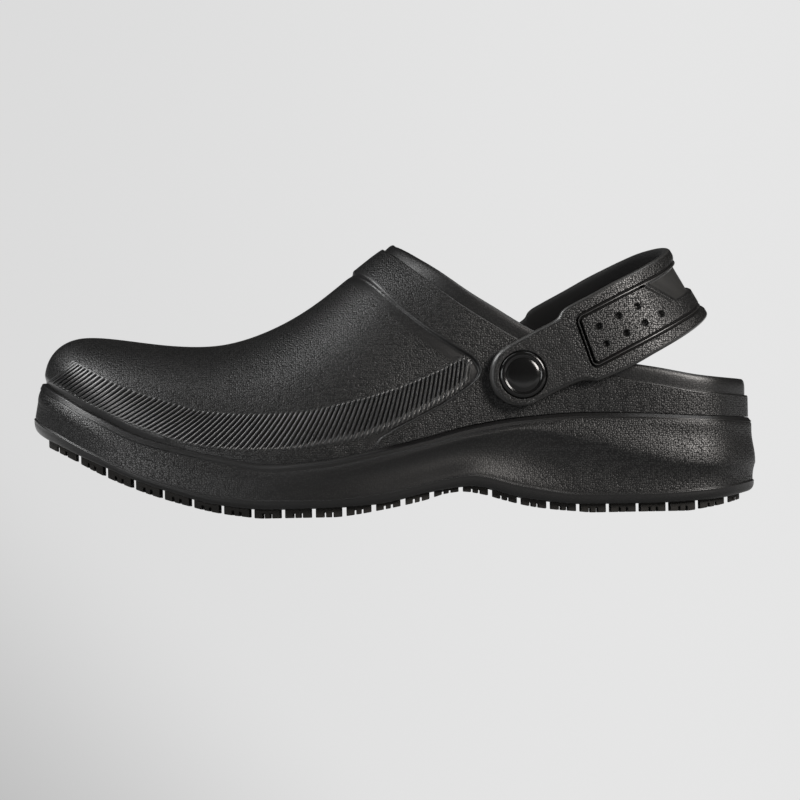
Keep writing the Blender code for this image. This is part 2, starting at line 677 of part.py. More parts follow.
def make_insole():
    """The footbed: flat below, dished above with a raised edge and a higher inner arch."""
    turns = ring_turns(SOLE_STATIONS)
    inset = np.full(len(turns), -(WALL + SEAT_GAP * 2.0))
    ring = offset_ring(turns, inset, side_value("bed", turns) + SEAT_GAP)
    size = len(turns)
    shares = np.array([0.0, 0.1, 0.3, 0.5, 0.7, 0.9, 1.0])
    vertices = []
    faces = []
    index = {}
    for k in range(SOLE_STATIONS + 1):
        first, second = ring[k], ring[(size - k) % size]
        heel = float(np.clip((first[0] - 190.0) / 60.0, 0.0, 1.0))
        arch = math.exp(-(((first[0] - 172.0) / 34.0) ** 2))
        for j, share in enumerate(shares):
            if k in (0, SOLE_STATIONS) and j:
                index[k, j, 0] = index[k, 0, 0]
                index[k, j, 1] = index[k, 0, 1]
                continue
            edge = abs(2.0 * share - 1.0) ** 3
            rise = INSOLE_THICK + INSOLE_EDGE_RISE * edge * (0.35 + 0.65 * heel)
            rise += INSOLE_ARCH_RISE * arch * share**3
            if k in (0, SOLE_STATIONS):
                rise = INSOLE_THICK + INSOLE_EDGE_RISE * (0.35 + 0.65 * heel)
            low = first + (second - first) * share
            index[k, j, 0] = len(vertices)
            vertices.append(low)
            index[k, j, 1] = len(vertices)
            vertices.append(low + np.array([0.0, 0.0, rise]))
    for k in range(SOLE_STATIONS):
        for j in range(len(shares) - 1):
            for level in (0, 1):
                corners = ((k, j), (k + 1, j), (k + 1, j + 1), (k, j + 1))
                quad = list(dict.fromkeys(index[row, place, level] for row, place in corners))
                faces.append(quad[::-1] if level else quad)
        for j in (0, len(shares) - 1):
            quad = [index[k, j, 0], index[k + 1, j, 0], index[k + 1, j, 1], index[k, j, 1]]
            faces.append(quad[::-1] if j == 0 else quad)
    return solid("insole", vertices, faces, (0.035, 0.035, 0.037), 0.85)


def strap_frame():
    """Pivot, the direction that the strap points in and the direction square to it, seen from the side."""
    tilt = math.radians(STRAP_TILT)
    forward = np.array([math.cos(tilt), 0.0, math.sin(tilt)])
    up = np.array([-math.sin(tilt), 0.0, math.cos(tilt)])
    return np.array([PIVOT_NEAR_AT, 0.0, PIVOT_NEAR_UP]), forward, up


def strap_path(along, far):
    """How far from the axis the inner face of the strap lies, at a reach along it."""
    wide = STRAP_FAR_SIDE if far else STRAP_NEAR_SIDE
    taper = STRAP_FAR_TAPER if far else STRAP_NEAR_TAPER
    narrower = taper * STRAP_TAPER_RUN * np.tanh(along / STRAP_TAPER_RUN)
    share = np.clip(along / STRAP_REACH, 0.0, 1.0)
    return (wide - narrower) * np.sqrt(1.0 - share**3) * (1.0 if far else -1.0)


def strap_rise(along, far):
    """How much higher the strap's middle line lies than on the near side, at a reach along it."""
    side_at = float(strap_path(np.array(along), far))
    share = float(np.clip(side_at / STRAP_TWIST_WIDTH + 0.5, 0.0, 1.0))
    drop = STRAP_FAR_DROP * max(STRAP_FAR_STRAIGHT - along, 0.0) if far else 0.0
    return STRAP_FAR_RISE * share * share * (3.0 - 2.0 * share) - drop


def strap_stations():
    """Stations of the strap from its near end round the back to its far end, as reach and side."""
    radius = STRAP_END_RADIUS
    cap = [-radius * math.cos(math.radians(turn)) for turn in (8.0, 24.0, 42.0, 62.0)]
    near = cap + [0.0, 7.0, 14.0, 21.5, 24.5, 28.0, 38.0, 47.0, 55.0, 62.0, 67.5, 71.5, 73.8]
    far_start = -PIVOT_FAR_FORWARD
    far = [along + far_start for along in cap + [0.0, 7.0, 14.0, 21.5, 24.5, 28.0]]
    far += [28.0, 38.0, 47.0, 55.0, 62.0, 67.5, 71.5, 73.8]
    stations = [(along, False) for along in near + [STRAP_REACH]]
    return stations + [(along, True) for along in far[::-1]]


def strap_ring(along, far):
    """The closed outline of the strap's wall at one station: inner face, then the rimmed outer face."""
    pivot, forward, up = strap_frame()
    own = along + PIVOT_FAR_FORWARD if far else along
    stretch = own * STRAP_REACH / (STRAP_REACH + PIVOT_FAR_FORWARD) if far and own > 28.0 else own
    lower = float(band_lower(stretch))
    upper = float(band_upper(stretch))
    if own < 0.0:
        half = math.sqrt(max(STRAP_END_RADIUS**2 - own**2, 0.0))
        lower, upper = -half, half
    side_at = float(strap_path(np.array(along), far))
    middle = strap_rise(along, far)
    step = 0.05
    ahead = float(strap_path(np.array(min(along + step, STRAP_REACH - 1e-6)), far))
    back = float(strap_path(np.array(min(along - step, STRAP_REACH - 1e-6 - 2.0 * step)), far))
    run = np.array([2.0 * step, ahead - back]) * (-1.0 if far else 1.0)
    out = np.array([run[1], -run[0]]) / np.linalg.norm(run)
    if along >= STRAP_REACH:
        out = np.array([1.0, 0.0])
    rim = min(STRAP_RIM_WIDTH, 0.25 * (upper - lower))
    wall = STRAP_THICK
    proud = STRAP_THICK + STRAP_RIM
    rows = (
        (0.0, lower),
        (0.0, 0.5 * (lower + upper)),
        (0.0, upper),
        (wall * 0.55, upper + 0.35),
        (proud, upper - 0.5),
        (proud, upper - rim),
        (wall, upper - rim - 0.7),
        (wall, 0.5 * (lower + upper)),
        (wall, lower + rim + 0.7),
        (proud, lower + rim),
        (proud, lower + 0.5),
        (wall * 0.55, lower - 0.35),
    )
    ring = []
    for thick, high in rows:
        reach = along + out[0] * thick
        spot = pivot + forward * reach + up * (high + middle)
        spot[1] = side_at + out[1] * thick
        ring.append(spot)
    return ring


def cylinder(name, centre, axis, radius, length):
    """A round cutter along an axis, hidden from renders."""
    bpy.ops.mesh.primitive_cylinder_add(vertices=24, radius=radius * MM, depth=length * MM)
    made = bpy.context.active_object
    made.name = name
    spot = np.array([centre[0] - MID_LENGTH, centre[1] + SIDE_SHIFT, centre[2]]) * MM
    turn = np.array([0.0, 0.0, 1.0])
    axis = np.asarray(axis, float) / np.linalg.norm(axis)
    hinge = np.cross(turn, axis)
    angle = math.acos(float(np.clip(np.dot(turn, axis), -1.0, 1.0)))
    made.rotation_mode = "AXIS_ANGLE"
    made.rotation_axis_angle = (angle, *(hinge / np.linalg.norm(hinge)))
    made.location = spot
    made.hide_render = True
    made.display_type = "WIRE"
    return made


def cut(target, cutter):
    """Takes the cutter's shape out of the target."""
    step = target.modifiers.new(cutter.name, "BOOLEAN")
    step.operation = "DIFFERENCE"
    step.solver = "EXACT"
    step.object = cutter


def pivot_spot(far):
    """The pivot on the strap's inner face and the outward direction of its axis."""
    pivot, forward, up = strap_frame()
    along = -PIVOT_FAR_FORWARD if far else 0.0
    side_at = float(strap_path(np.array(along), far))
    middle = strap_rise(along, far)
    spot = pivot + forward * along + up * middle
    spot[1] = side_at
    lean = (STRAP_FAR_TAPER if far else STRAP_NEAR_TAPER) * forward
    axis = np.array([0.0, 1.0 if far else -1.0, 0.0]) + lean
    return spot, axis / np.linalg.norm(axis)


def make_strap():
    """The moulded heel strap with its rims, its round ends and the seats for the rivets."""
    vertices = []
    faces = []
    rings = []
    for along, far in strap_stations():
        ring = strap_ring(along, far)
        start = len(vertices)
        vertices.extend(ring)
        rings.append(list(range(start, start + len(ring))))
    for first, second in zip(rings, rings[1:]):
        for k in range(len(first)):
            after = (k + 1) % len(first)
            faces.append([first[k], first[after], second[after], second[k]])
    faces.append(rings[0][::-1])
    faces.append(rings[-1])
    made = solid("heel_strap", vertices, faces, (0.02, 0.02, 0.021), 0.5)
    for far in (False, True):
        word = "far" if far else "near"
        spot, axis = pivot_spot(far)
        depth = STRAP_THICK + STRAP_RIM + 6.0
        seat = spot + axis * (STRAP_THICK - BUTTON_SEAT + depth / 2.0)
        cut(made, cylinder(f"seat_cutter_{word}", seat, axis, BUTTON_RADIUS + SEAT_GAP, depth))
        cut(made, cylinder(f"hole_cutter_{word}", spot, axis, STEM_RADIUS + SEAT_GAP, 20.0))
    return made


def make_rivet(far):
    """A rivet turned about its axis: domed head, stem and inner foot."""
    word = "far" if far else "near"
    spot, axis = pivot_spot(far)
    floor = STRAP_THICK - BUTTON_SEAT + SEAT_GAP
    inner = -(WALL + OVERLAY_STEP + (FOOT_OFF_FAR if far else FOOT_OFF_NEAR))
    rows = (
        (0.0, floor + BUTTON_DOME + 0.9),
        (3.6, floor + BUTTON_DOME + 0.75),
        (6.8, floor + BUTTON_DOME + 0.2),
        (8.9, floor + BUTTON_DOME - 0.7),
        (BUTTON_RADIUS, floor + 0.6),
        (BUTTON_RADIUS, floor),
        (STEM_RADIUS, floor),
        (STEM_RADIUS, inner),
        (FOOT_RADIUS, inner),
        (FOOT_RADIUS, inner - FOOT_THICK * 0.5),
        (FOOT_RADIUS - 1.2, inner - FOOT_THICK),
        (0.0, inner - FOOT_THICK),
    )
    first = np.cross(axis, np.array([0.0, 0.0, 1.0]))
    first /= np.linalg.norm(first)
    second = np.cross(axis, first)
    count = 24
    vertices = []
    faces = []
    rings = []
    for radius, out in rows:
        start = len(vertices)
        steps = count if radius else 1
        for k in range(steps):
            turn = 2.0 * math.pi * k / count
            vertices.append(spot + axis * out + (first * math.cos(turn) + second * math.sin(turn)) * radius)
        rings.append(list(range(start, start + steps)))
    for one, two in zip(rings, rings[1:]):
        for k in range(count):
            after = (k + 1) % count
            quad = [one[k % len(one)], one[after % len(one)], two[after % len(two)], two[k % len(two)]]
            faces.append(list(dict.fromkeys(quad)))
    return solid(f"rivet_{word}", vertices, faces, (0.015, 0.015, 0.016), 0.25)


upper = make_upper()
make_midsole()
make_outsole()
make_insole()
make_strap()
for is_far in (False, True):
    make_rivet(is_far)
    hole_spot, hole_axis = pivot_spot(is_far)
    end = "far" if is_far else "near"
    cut(upper, cylinder(f"wall_cutter_{end}", hole_spot, hole_axis, STEM_RADIUS + SEAT_GAP, 30.0))
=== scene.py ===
"""Looks of a moulded work clog with a heel strap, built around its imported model.

Until a mesh is placed, sizes are millimetres from the toe tip, from the heel axis and from the floor.
"""

import logging
import math
from dataclasses import dataclass, replace
from enum import Enum
from typing import Dict, List, NamedTuple, Sequence, Tuple, Type, Union

import bpy
import numpy as np
from bpy.types import Material, Node, NodeSocket, NodeTree, Object
from mathutils import Matrix, Vector
from numpy import ndarray as Array


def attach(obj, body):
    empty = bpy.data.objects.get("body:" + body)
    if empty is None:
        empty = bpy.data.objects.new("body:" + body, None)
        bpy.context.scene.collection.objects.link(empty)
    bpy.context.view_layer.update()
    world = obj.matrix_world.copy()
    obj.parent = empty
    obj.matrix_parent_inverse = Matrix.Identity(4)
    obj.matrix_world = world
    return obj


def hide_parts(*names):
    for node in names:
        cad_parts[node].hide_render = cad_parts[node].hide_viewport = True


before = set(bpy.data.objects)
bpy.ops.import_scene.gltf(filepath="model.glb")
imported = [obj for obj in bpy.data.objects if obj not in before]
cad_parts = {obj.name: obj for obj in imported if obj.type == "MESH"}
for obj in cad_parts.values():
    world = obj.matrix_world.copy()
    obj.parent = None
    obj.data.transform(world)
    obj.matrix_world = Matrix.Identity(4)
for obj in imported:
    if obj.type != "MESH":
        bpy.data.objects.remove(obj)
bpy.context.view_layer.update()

LOG = logging.getLogger("clog")
MM = 0.001
TO_FRAME = np.array([-147.75, 0.4, 0.0])
FULL_TURN = 2.0 * math.pi
GRAIN = "grain"

Span = Tuple[float, float]
Triple = Tuple[float, float, float]
Fall = Tuple[float, float, float, float]
Floats = Union[float, Array]
Sockets = Dict[Union[int, str], object]


class Blend(Enum):
    """How a curve runs between the rows of a table."""

    SMOOTH = "even bend, flat at both ends"
    LOOP = "even bend, closed on itself"
    STEADY = "never past the rows"
    LEVEL = "never past the rows, flat at both ends"


class Side(Enum):
    """The two sides of the shoe, by the sign of their distance from the heel axis."""

    OUTER = -1
    INNER = 1

    @property
    def word(self) -> str:
        """The side's name for a piece: near is the side that faces the camera."""
        return "near" if self is Side.OUTER else "far"


Halves = Dict[Side, Array]


class Curve:
    """A curve through the rows of a table."""

    def __init__(self, keys: Sequence[float], values: Sequence[float], blend: Blend = Blend.STEADY) -> None:
        """Works out the slope at each row.

        Args:
            keys: the rows' places, rising.
            values: the rows' values.
            blend: how the curve runs between the rows.
        """
        self.keys = np.asarray(keys, float)
        self.values = np.asarray(values, float)
        self.gaps = np.diff(self.keys)
        if blend in (Blend.SMOOTH, Blend.LOOP):
            self.leans = self._even_leans(blend is Blend.LOOP)
        else:
            self.leans = self._steady_leans(blend is Blend.LEVEL)

    def _even_leans(self, loop: bool) -> Array:
        """Slopes of the curve with the evenest bend.

        Args:
            loop: whether the curve closes on itself.

        Returns:
            One slope for each row.
        """
        gaps, count = self.gaps, len(self.keys)
        pull = np.diff(self.values) / gaps / gaps
        grid, right = np.eye(count), np.zeros(count)
        for k in range(1, count - 1):
            grid[k, k - 1 : k + 2] = 1.0 / gaps[k - 1], 2.0 / gaps[k - 1] + 2.0 / gaps[k], 1.0 / gaps[k]
            right[k] = 3.0 * (pull[k - 1] + pull[k])
        if loop:
            grid[0, -1] = -1.0
            grid[-1, :2] = 2.0 / gaps[0], 1.0 / gaps[0]
            grid[-1, -2:] = 1.0 / gaps[-1], 2.0 / gaps[-1]
            right[-1] = 3.0 * (pull[-1] + pull[0])
        return np.linalg.solve(grid, right)

    def _steady_leans(self, level: bool) -> Array:
        """Slopes of a curve that never swings past its rows.

        Args:
            level: whether both ends run flat.

        Returns:
            One slope for each row.
        """
        slopes = np.diff(self.values) / self.gaps
        leans = np.zeros(len(self.keys))
        for k in range(1, len(self.keys) - 1):
            if slopes[k - 1] * slopes[k] > 0.0:
                first = 2.0 * self.gaps[k] + self.gaps[k - 1]
                second = self.gaps[k] + 2.0 * self.gaps[k - 1]
                leans[k] = (first + second) / (first / slopes[k - 1] + second / slopes[k])
        if not level:
            leans[[0, -1]] = slopes[[0, -1]]
        return leans

    def __call__(self, at: Floats) -> Array:
        """Reads the curve, which is held beyond its ends.

        Args:
            at: one place or more.

        Returns:
            The values there.
        """
        at = np.clip(np.asarray(at, float), self.keys[0], self.keys[-1])
        k = np.clip(np.searchsorted(self.keys, at, side="right") - 1, 0, len(self.keys) - 2)
        gap = self.gaps[k]
        t = (at - self.keys[k]) / gap
        start = self.values[k] * (1.0 + 2.0 * t) * (1.0 - t) ** 2 + gap * self.leans[k] * t * (1.0 - t) ** 2
        end = self.values[k + 1] * t**2 * (3.0 - 2.0 * t) + gap * self.leans[k + 1] * t**2 * (t - 1.0)
        return start + end


def table(kind: Type[NamedTuple], *rows: Sequence[object]) -> Tuple[NamedTuple, ...]:
    """A table with rows of one kind."""
    return tuple(kind(*row) for row in rows)


def column(rows: Sequence[NamedTuple], name: str) -> Array:
    """The values of one named column of a table."""
    return np.array([getattr(row, name) for row in rows], float)


def drawn(rows: Sequence[NamedTuple], name: str, blend: Blend = Blend.STEADY) -> Curve:
    """The curve of one named column of a table over its first column."""
    return Curve(column(rows, rows[0]._fields[0]), column(rows, name), blend)


def ease(low: float, high: float, value: Floats) -> Array:
    """A soft step from 0 at low to 1 at high."""
    t = np.clip((np.asarray(value, float) - low) / (high - low), 0.0, 1.0)
    return t * t * (3.0 - 2.0 * t)


def bowl(away: Array, half: float) -> Array:
    """A round hollow: 1 in its middle and 0 from its edge on, which lies half its width away."""
    return np.clip(1.0 - (np.abs(away) / half) ** 2, 0.0, 1.0)


def between(first: Floats, second: Floats, share: Floats) -> Floats:
    """What lies at a share of the way from first to second."""
    return first + (second - first) * share


def unit(vectors: Array) -> Array:
    """The vectors at length 1."""
    return vectors / np.maximum(np.linalg.norm(vectors, axis=-1, keepdims=True), 1e-12)


def placed(points: Array) -> Array:
    """Points in millimetres, moved into the model's frame and given in metres."""
    return (points + TO_FRAME) * MM


class Section(NamedTuple):
    """A section of the last: half widths at the rim line and the place of its ridge."""

    at: float
    lateral: float
    medial: float
    ridge_at: float
    ridge_side: float
    fullness: float


SECTIONS = table(
    Section,
    (4.5, -6.0, 6.0, 23.5, 6.0, 2.25), (9.0, 13.0, 25.5, 25.0, 6.0, 2.25),
    (20.0, 27.5, 39.5, 30.5, 5.6, 2.2), (36.0, 38.0, 46.5, 41.5, 5.0, 2.3),
    (56.0, 44.8, 50.0, 57.5, 4.4, 2.35), (80.0, 49.4, 51.2, 80.2, 4.0, 2.3),
    (100.0, 51.8, 49.8, 100.0, 3.6, 2.2), (120.0, 52.0, 46.5, 120.0, 3.2, 2.1),
    (145.0, 49.3, 41.8, 145.0, 2.8, 2.0), (170.0, 45.2, 38.0, 170.0, 2.2, 2.0),
    (195.0, 41.0, 36.0, 195.0, 1.4, 2.05), (220.0, 37.8, 35.3, 220.0, 0.6, 2.1),
    (245.0, 35.4, 34.4, 242.0, 0.0, 2.2), (265.0, 31.5, 31.0, 253.0, 0.0, 2.2),
    (280.0, 23.5, 23.5, 259.0, 0.0, 2.2), (287.4, 13.0, 13.0, 261.2, 0.0, 2.2),
    (291.5, 0.0, 0.0, 262.0, 0.0, 2.2),
)


class Height(NamedTuple):
    """A height at a distance from the toe."""

    at: float
    height: float


RIDGE = table(
    Height,
    (23.5, 75.5), (33.0, 74.8), (43.0, 73.4), (54.0, 71.9), (66.0, 71.0), (76.0, 71.3), (86.0, 73.2),
    (96.0, 76.6), (106.0, 81.3), (118.0, 88.8), (130.0, 98.0), (137.0, 103.3), (144.3, 108.3),
    (155.0, 113.5), (175.0, 124.0), (200.0, 134.0), (230.0, 143.0), (262.0, 150.0),
)

TREAD = table(
    Height,
    (4.5, 31.6), (17.0, 25.0), (28.0, 19.0), (39.0, 14.0), (50.5, 9.6), (62.4, 5.9), (75.0, 2.6),
    (85.0, 1.0), (93.5, 0.0), (122.0, 0.0), (131.0, 0.9), (138.0, 2.0), (148.0, 3.8), (160.0, 6.4),
    (168.0, 8.8), (175.0, 9.6), (183.0, 8.4), (192.0, 5.8), (202.0, 3.2), (212.0, 1.6), (222.0, 0.6),
    (229.0, 0.0), (266.0, 0.0), (274.0, 1.1), (281.0, 2.4), (288.0, 4.4), (292.7, 6.4),
)


class Collar(NamedTuple):
    """Outer edge of the collar, and how far the thin lip stands above it."""

    at: float
    height: float
    lip: float


COLLAR = table(
    Collar,
    (144.3, 108.3, 5.6), (149.6, 104.8, 6.3), (154.0, 101.4, 6.8), (163.3, 94.4, 7.4), (173.8, 86.4, 7.6),
    (185.0, 79.0, 7.6), (197.6, 71.2, 7.3), (210.0, 64.6, 7.2), (225.0, 58.6, 7.1), (240.0, 54.4, 7.2),
    (256.0, 51.3, 7.4), (273.0, 48.1, 7.4), (292.7, 46.1, 7.4),
)


class Panel(NamedTuple):
    """Rear edge of the lower vamp panel: its reach at a share of the rise to the ridge."""

    rise: float
    reach: float


PANEL = table(
    Panel,
    (0.0, 138.0), (0.06, 142.5), (0.10, 153.0), (0.14, 168.0), (0.19, 179.0), (0.23, 182.9), (0.28, 181.2),
    (0.37, 173.4), (0.52, 161.2), (0.73, 147.0), (0.92, 136.6), (1.0, 131.6),
)


class Wall(NamedTuple):
    """A section of the sole's side: heights from the floor, and outsets from the rim line of the upper."""

    at: float
    rim: float
    bed: float
    proud: float
    sculpt: float
    belly: float
    hollow: float
    lip: float
    flare: float
    foam: float
    edge: float


WALLS = table(
    Wall,
    (4.5, 57.2, 48.5, 1.8, 49.5, 2.9, 0.0, 42.6, 4.5, 36.0, 0.6),
    (10.0, 53.0, 45.0, 1.6, 45.5, 3.1, 0.0, 37.6, 4.2, 32.4, 0.8),
    (26.0, 43.3, 36.4, 1.6, 35.5, 3.2, 0.0, 27.6, 4.0, 24.0, 1.0),
    (43.5, 34.4, 28.2, 1.5, 26.5, 3.2, 0.0, 18.6, 4.0, 16.0, 1.3),
    (58.0, 30.0, 24.0, 1.3, 21.5, 3.1, 0.0, 13.6, 4.0, 10.8, 1.5),
    (75.0, 25.8, 19.8, 1.2, 16.5, 3.0, 0.0, 9.0, 4.0, 5.9, 1.6),
    (97.0, 22.0, 16.4, 1.2, 13.8, 2.9, 0.2, 6.9, 4.0, 3.5, 1.6),
    (118.0, 23.3, 17.0, 1.5, 16.6, 3.0, 0.7, 6.6, 4.0, 3.7, 1.7),
    (140.0, 27.4, 19.6, 2.1, 21.8, 3.4, 1.6, 8.6, 4.1, 5.0, 1.8),
    (162.0, 32.4, 23.2, 2.2, 27.6, 3.6, 2.4, 13.2, 4.0, 9.6, 1.7),
    (178.0, 36.4, 26.2, 2.2, 31.4, 3.6, 2.8, 15.9, 3.9, 11.6, 1.6),
    (200.0, 39.6, 28.8, 2.2, 34.2, 3.6, 2.8, 11.0, 3.7, 6.3, 1.7),
    (225.0, 41.0, 30.0, 2.2, 29.6, 4.1, 1.0, 7.3, 3.1, 3.5, 1.6),
    (250.0, 40.3, 30.0, 2.3, 22.4, 4.5, 0.3, 7.2, 2.8, 3.4, 1.2),
    (272.0, 39.0, 30.0, 2.3, 18.4, 4.3, 0.2, 8.4, 2.9, 4.2, 0.4),
    (291.5, 38.0, 30.3, 2.4, 19.4, 3.8, 0.0, 12.0, 3.1, 7.4, -1.2),
)


class Workbench:
    """Hand tools for meshes: each lays, joins or trims a piece with Blender's own operators."""

    @staticmethod
    def clear() -> None:
        """Leaves nothing selected and no mesh open."""
        if bpy.context.mode != "OBJECT":
            bpy.ops.object.mode_set(mode="OBJECT")
        bpy.ops.object.select_all(action="DESELECT")

    @staticmethod
    def pick(piece: Object) -> None:
        """Selects one piece alone and makes it the active one."""
        Workbench.clear()
        piece.select_set(True)
        bpy.context.view_layer.objects.active = piece

    @staticmethod
    def enter(piece: Object) -> None:
        """Opens a piece's mesh with all of it selected."""
        Workbench.pick(piece)
        bpy.ops.object.mode_set(mode="EDIT")
        bpy.ops.mesh.select_all(action="SELECT")

    @staticmethod
    def leave() -> None:
        """Turns all faces of the open mesh outwards and leaves it."""
        bpy.ops.mesh.select_all(action="SELECT")
        bpy.ops.mesh.normals_make_consistent(inside=False)
        bpy.ops.object.mode_set(mode="OBJECT")

    @staticmethod
    def call(piece: Object, name: str) -> None:
        """Names a piece and its mesh alike."""
        piece.name = name
        piece.data.name = name

    @staticmethod
    def grid(rows: int, columns: int) -> Tuple[Object, Array, Array]:
        """Lays a flat grid primitive.

        Args:
            rows: how many rows of points.
            columns: how many points in a row.

        Returns:
            The new piece, and the row and the column of each of its points.
        """
        Workbench.clear()
        bpy.ops.mesh.primitive_grid_add(x_subdivisions=columns - 1, y_subdivisions=rows - 1, size=1.0)
        made = bpy.context.active_object
        flat = np.empty(len(made.data.vertices) * 3)
        made.data.vertices.foreach_get("co", flat)
        spots = np.rint((flat.reshape(-1, 3)[:, :2] + 0.5) * (columns - 1, rows - 1)).astype(int)
        return made, spots[:, 1], spots[:, 0]

    @staticmethod
    def sheet(name: str, points: Array, grain: Floats = 1.0) -> Object:
        """Lays a grid on a form.

        Args:
            name: the piece's name.
            points: places in millimetres, as rows, columns and three numbers.
            grain: how strongly the mould's grain shows, for all points or for each; below zero, how dark the
                place is painted, as painted shade.

        Returns:
            The new piece.
        """
        made, row, place = Workbench.grid(*points.shape[:2])
        Workbench.call(made, name)
        Workbench.shape(made, points[row, place])
        strength = np.broadcast_to(np.asarray(grain, float), points.shape[:2])[row, place]
        note = made.data.attributes.new(GRAIN, "FLOAT", "POINT")
        note.data.foreach_set("value", np.ascontiguousarray(strength, np.float32))
        return made

    @staticmethod
    def shape(piece: Object, points: Array) -> None:
        """Moves a piece's points to places in millimetres."""
        piece.data.vertices.foreach_set("co", placed(points).astype(np.float32).ravel())
        piece.data.update()

    @staticmethod
    def join(name: str, pieces: Sequence[Object]) -> Object:
        """Joins pieces into the first one.

        Args:
            name: the joined piece's name.
            pieces: what to join.

        Returns:
            The joined piece.
        """
        Workbench.pick(pieces[0])
        for piece in pieces:
            piece.select_set(True)
        bpy.ops.object.join()
        Workbench.call(pieces[0], name)
        return pieces[0]

    @staticmethod
    def weld(piece: Object, gap: float = 0.002) -> None:
        """Merges points closer than a gap in millimetres and turns all faces outwards."""
        Workbench.enter(piece)
        bpy.ops.mesh.remove_doubles(threshold=gap * MM)
        Workbench.leave()

    @staticmethod
    def close(piece: Object) -> None:
        """Fills every open edge loop with a face, and turns all faces outwards.

        Args:
            piece: what to close.
        """
        Workbench.enter(piece)
        bpy.ops.mesh.select_mode(type="EDGE")
        bpy.ops.mesh.select_all(action="DESELECT")
        bpy.ops.mesh.select_non_manifold(extend=False, use_wire=False, use_multi_face=False)
        bpy.ops.mesh.edge_face_add()
        bpy.ops.mesh.select_mode(type="VERT")
        Workbench.leave()

    @staticmethod
    def drill(piece: Object, spot: Array, axis: Array, radius: float, length: float) -> None:
        """Takes a round hole out of a piece.

        Args:
            piece: what is drilled.
            spot: the hole's middle, in millimetres.
            axis: the hole's direction.
            radius: its radius in millimetres.
            length: its length in millimetres.
        """
        Workbench.clear()
        place, turn = Vector(placed(spot)), Vector(axis).to_track_quat("Z", "Y").to_euler()
        bpy.ops.mesh.primitive_cylinder_add(
            vertices=96, radius=radius * MM, depth=length * MM, location=place, rotation=turn
        )
        drill = bpy.context.active_object
        Workbench.pick(piece)
        step = piece.modifiers.new("hole", "BOOLEAN")
        step.operation = "DIFFERENCE"
        step.solver = "EXACT"
        step.object = drill
        bpy.ops.object.modifier_apply(modifier=step.name)
        bpy.data.objects.remove(drill, do_unlink=True)

    @staticmethod
    def finish(
        piece: Object, surface: Material, slot: str, angle: float, nodes: Sequence[str] = ()
    ) -> None:
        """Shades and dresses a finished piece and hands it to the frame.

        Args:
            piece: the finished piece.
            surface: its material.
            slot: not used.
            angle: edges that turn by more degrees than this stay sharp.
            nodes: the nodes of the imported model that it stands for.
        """
        Workbench.pick(piece)
        bpy.ops.object.shade_smooth_by_angle(angle=math.radians(angle))
        piece.data.materials.clear()
        piece.data.materials.append(surface)
        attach(piece, "root")
        if nodes:
            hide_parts(*nodes)
        triangles = sum(len(face.vertices) - 2 for face in piece.data.polygons)
        LOG.info("%s: %d triangles", piece.name, triangles)


class Value:
    """A shader socket that carries one number, with Python's own operators."""

    def __init__(self, bench: "NodeBench", socket: NodeSocket) -> None:
        """Wraps a socket of nodes under work."""
        self.bench = bench
        self.socket = socket

    def _math(self, operation: str, first: "Number", second: "Number") -> "Value":
        """Adds one Math node."""
        return self.bench.value("ShaderNodeMath", {"operation": operation}, {0: first, 1: second}, 0)

    def __add__(self, other: "Number") -> "Value":
        """self + other."""
        return self._math("ADD", self, other)

    def __radd__(self, other: "Number") -> "Value":
        """other + self."""
        return self._math("ADD", other, self)

    def __rsub__(self, other: "Number") -> "Value":
        """other - self."""
        return self._math("SUBTRACT", other, self)

    def __sub__(self, other: "Number") -> "Value":
        """self - other."""
        return self._math("SUBTRACT", self, other)

    def __mul__(self, other: "Number") -> "Value":
        """self * other."""
        return self._math("MULTIPLY", self, other)

    def __rmul__(self, other: "Number") -> "Value":
        """other * self."""
        return self._math("MULTIPLY", other, self)

    def __pow__(self, other: "Number") -> "Value":
        """self ** other."""
        return self._math("POWER", self, other)

    def at_least(self, low: float) -> "Value":
        """The value, or low where that is more."""
        return self._math("MAXIMUM", self, low)


Number = Union[float, Value]


class NodeBench:
    """Nodes under work, of a material or of the room's light."""

    def __init__(self, tree: NodeTree) -> None:
        """Takes up a node tree."""
        self.tree = tree

    def node(self, kind: str, settings: Dict[str, object], inputs: Sockets) -> Node:
        """Adds a node.

        Args:
            kind: the node's type.
            settings: its own settings, set first.
            inputs: values or links of its sockets.

        Returns:
            The new node.
        """
        made = self.tree.nodes.new(kind)
        for name, value in settings.items():
            setattr(made, name, value)
        for name, value in inputs.items():
            self.feed(made.inputs[name], value)
        return made

    def feed(self, socket: NodeSocket, value: object) -> None:
        """Links or sets one socket.

        Args:
            socket: the socket.
            value: a value or a socket to link it to, or else what to set it to.
        """
        if isinstance(value, Value):
            value = value.socket
        if isinstance(value, NodeSocket):
            self.tree.links.new(value, socket)
        else:
            socket.default_value = value

    def value(
        self, kind: str, settings: Dict[str, object], inputs: Sockets, output: Union[int, str]
    ) -> Value:
        """Adds a node and gives one of its outputs as a number."""
        return Value(self, self.node(kind, settings, inputs).outputs[output])

    def ramp(self, value: Value, fall: Fall) -> Value:
        """A soft step of a value, by its two ends and the value at each of them."""
        inputs = {"Value": value, **dict(zip(("From Min", "From Max", "To Min", "To Max"), fall))}
        return self.value("ShaderNodeMapRange", {"interpolation_type": "SMOOTHSTEP"}, inputs, "Result")


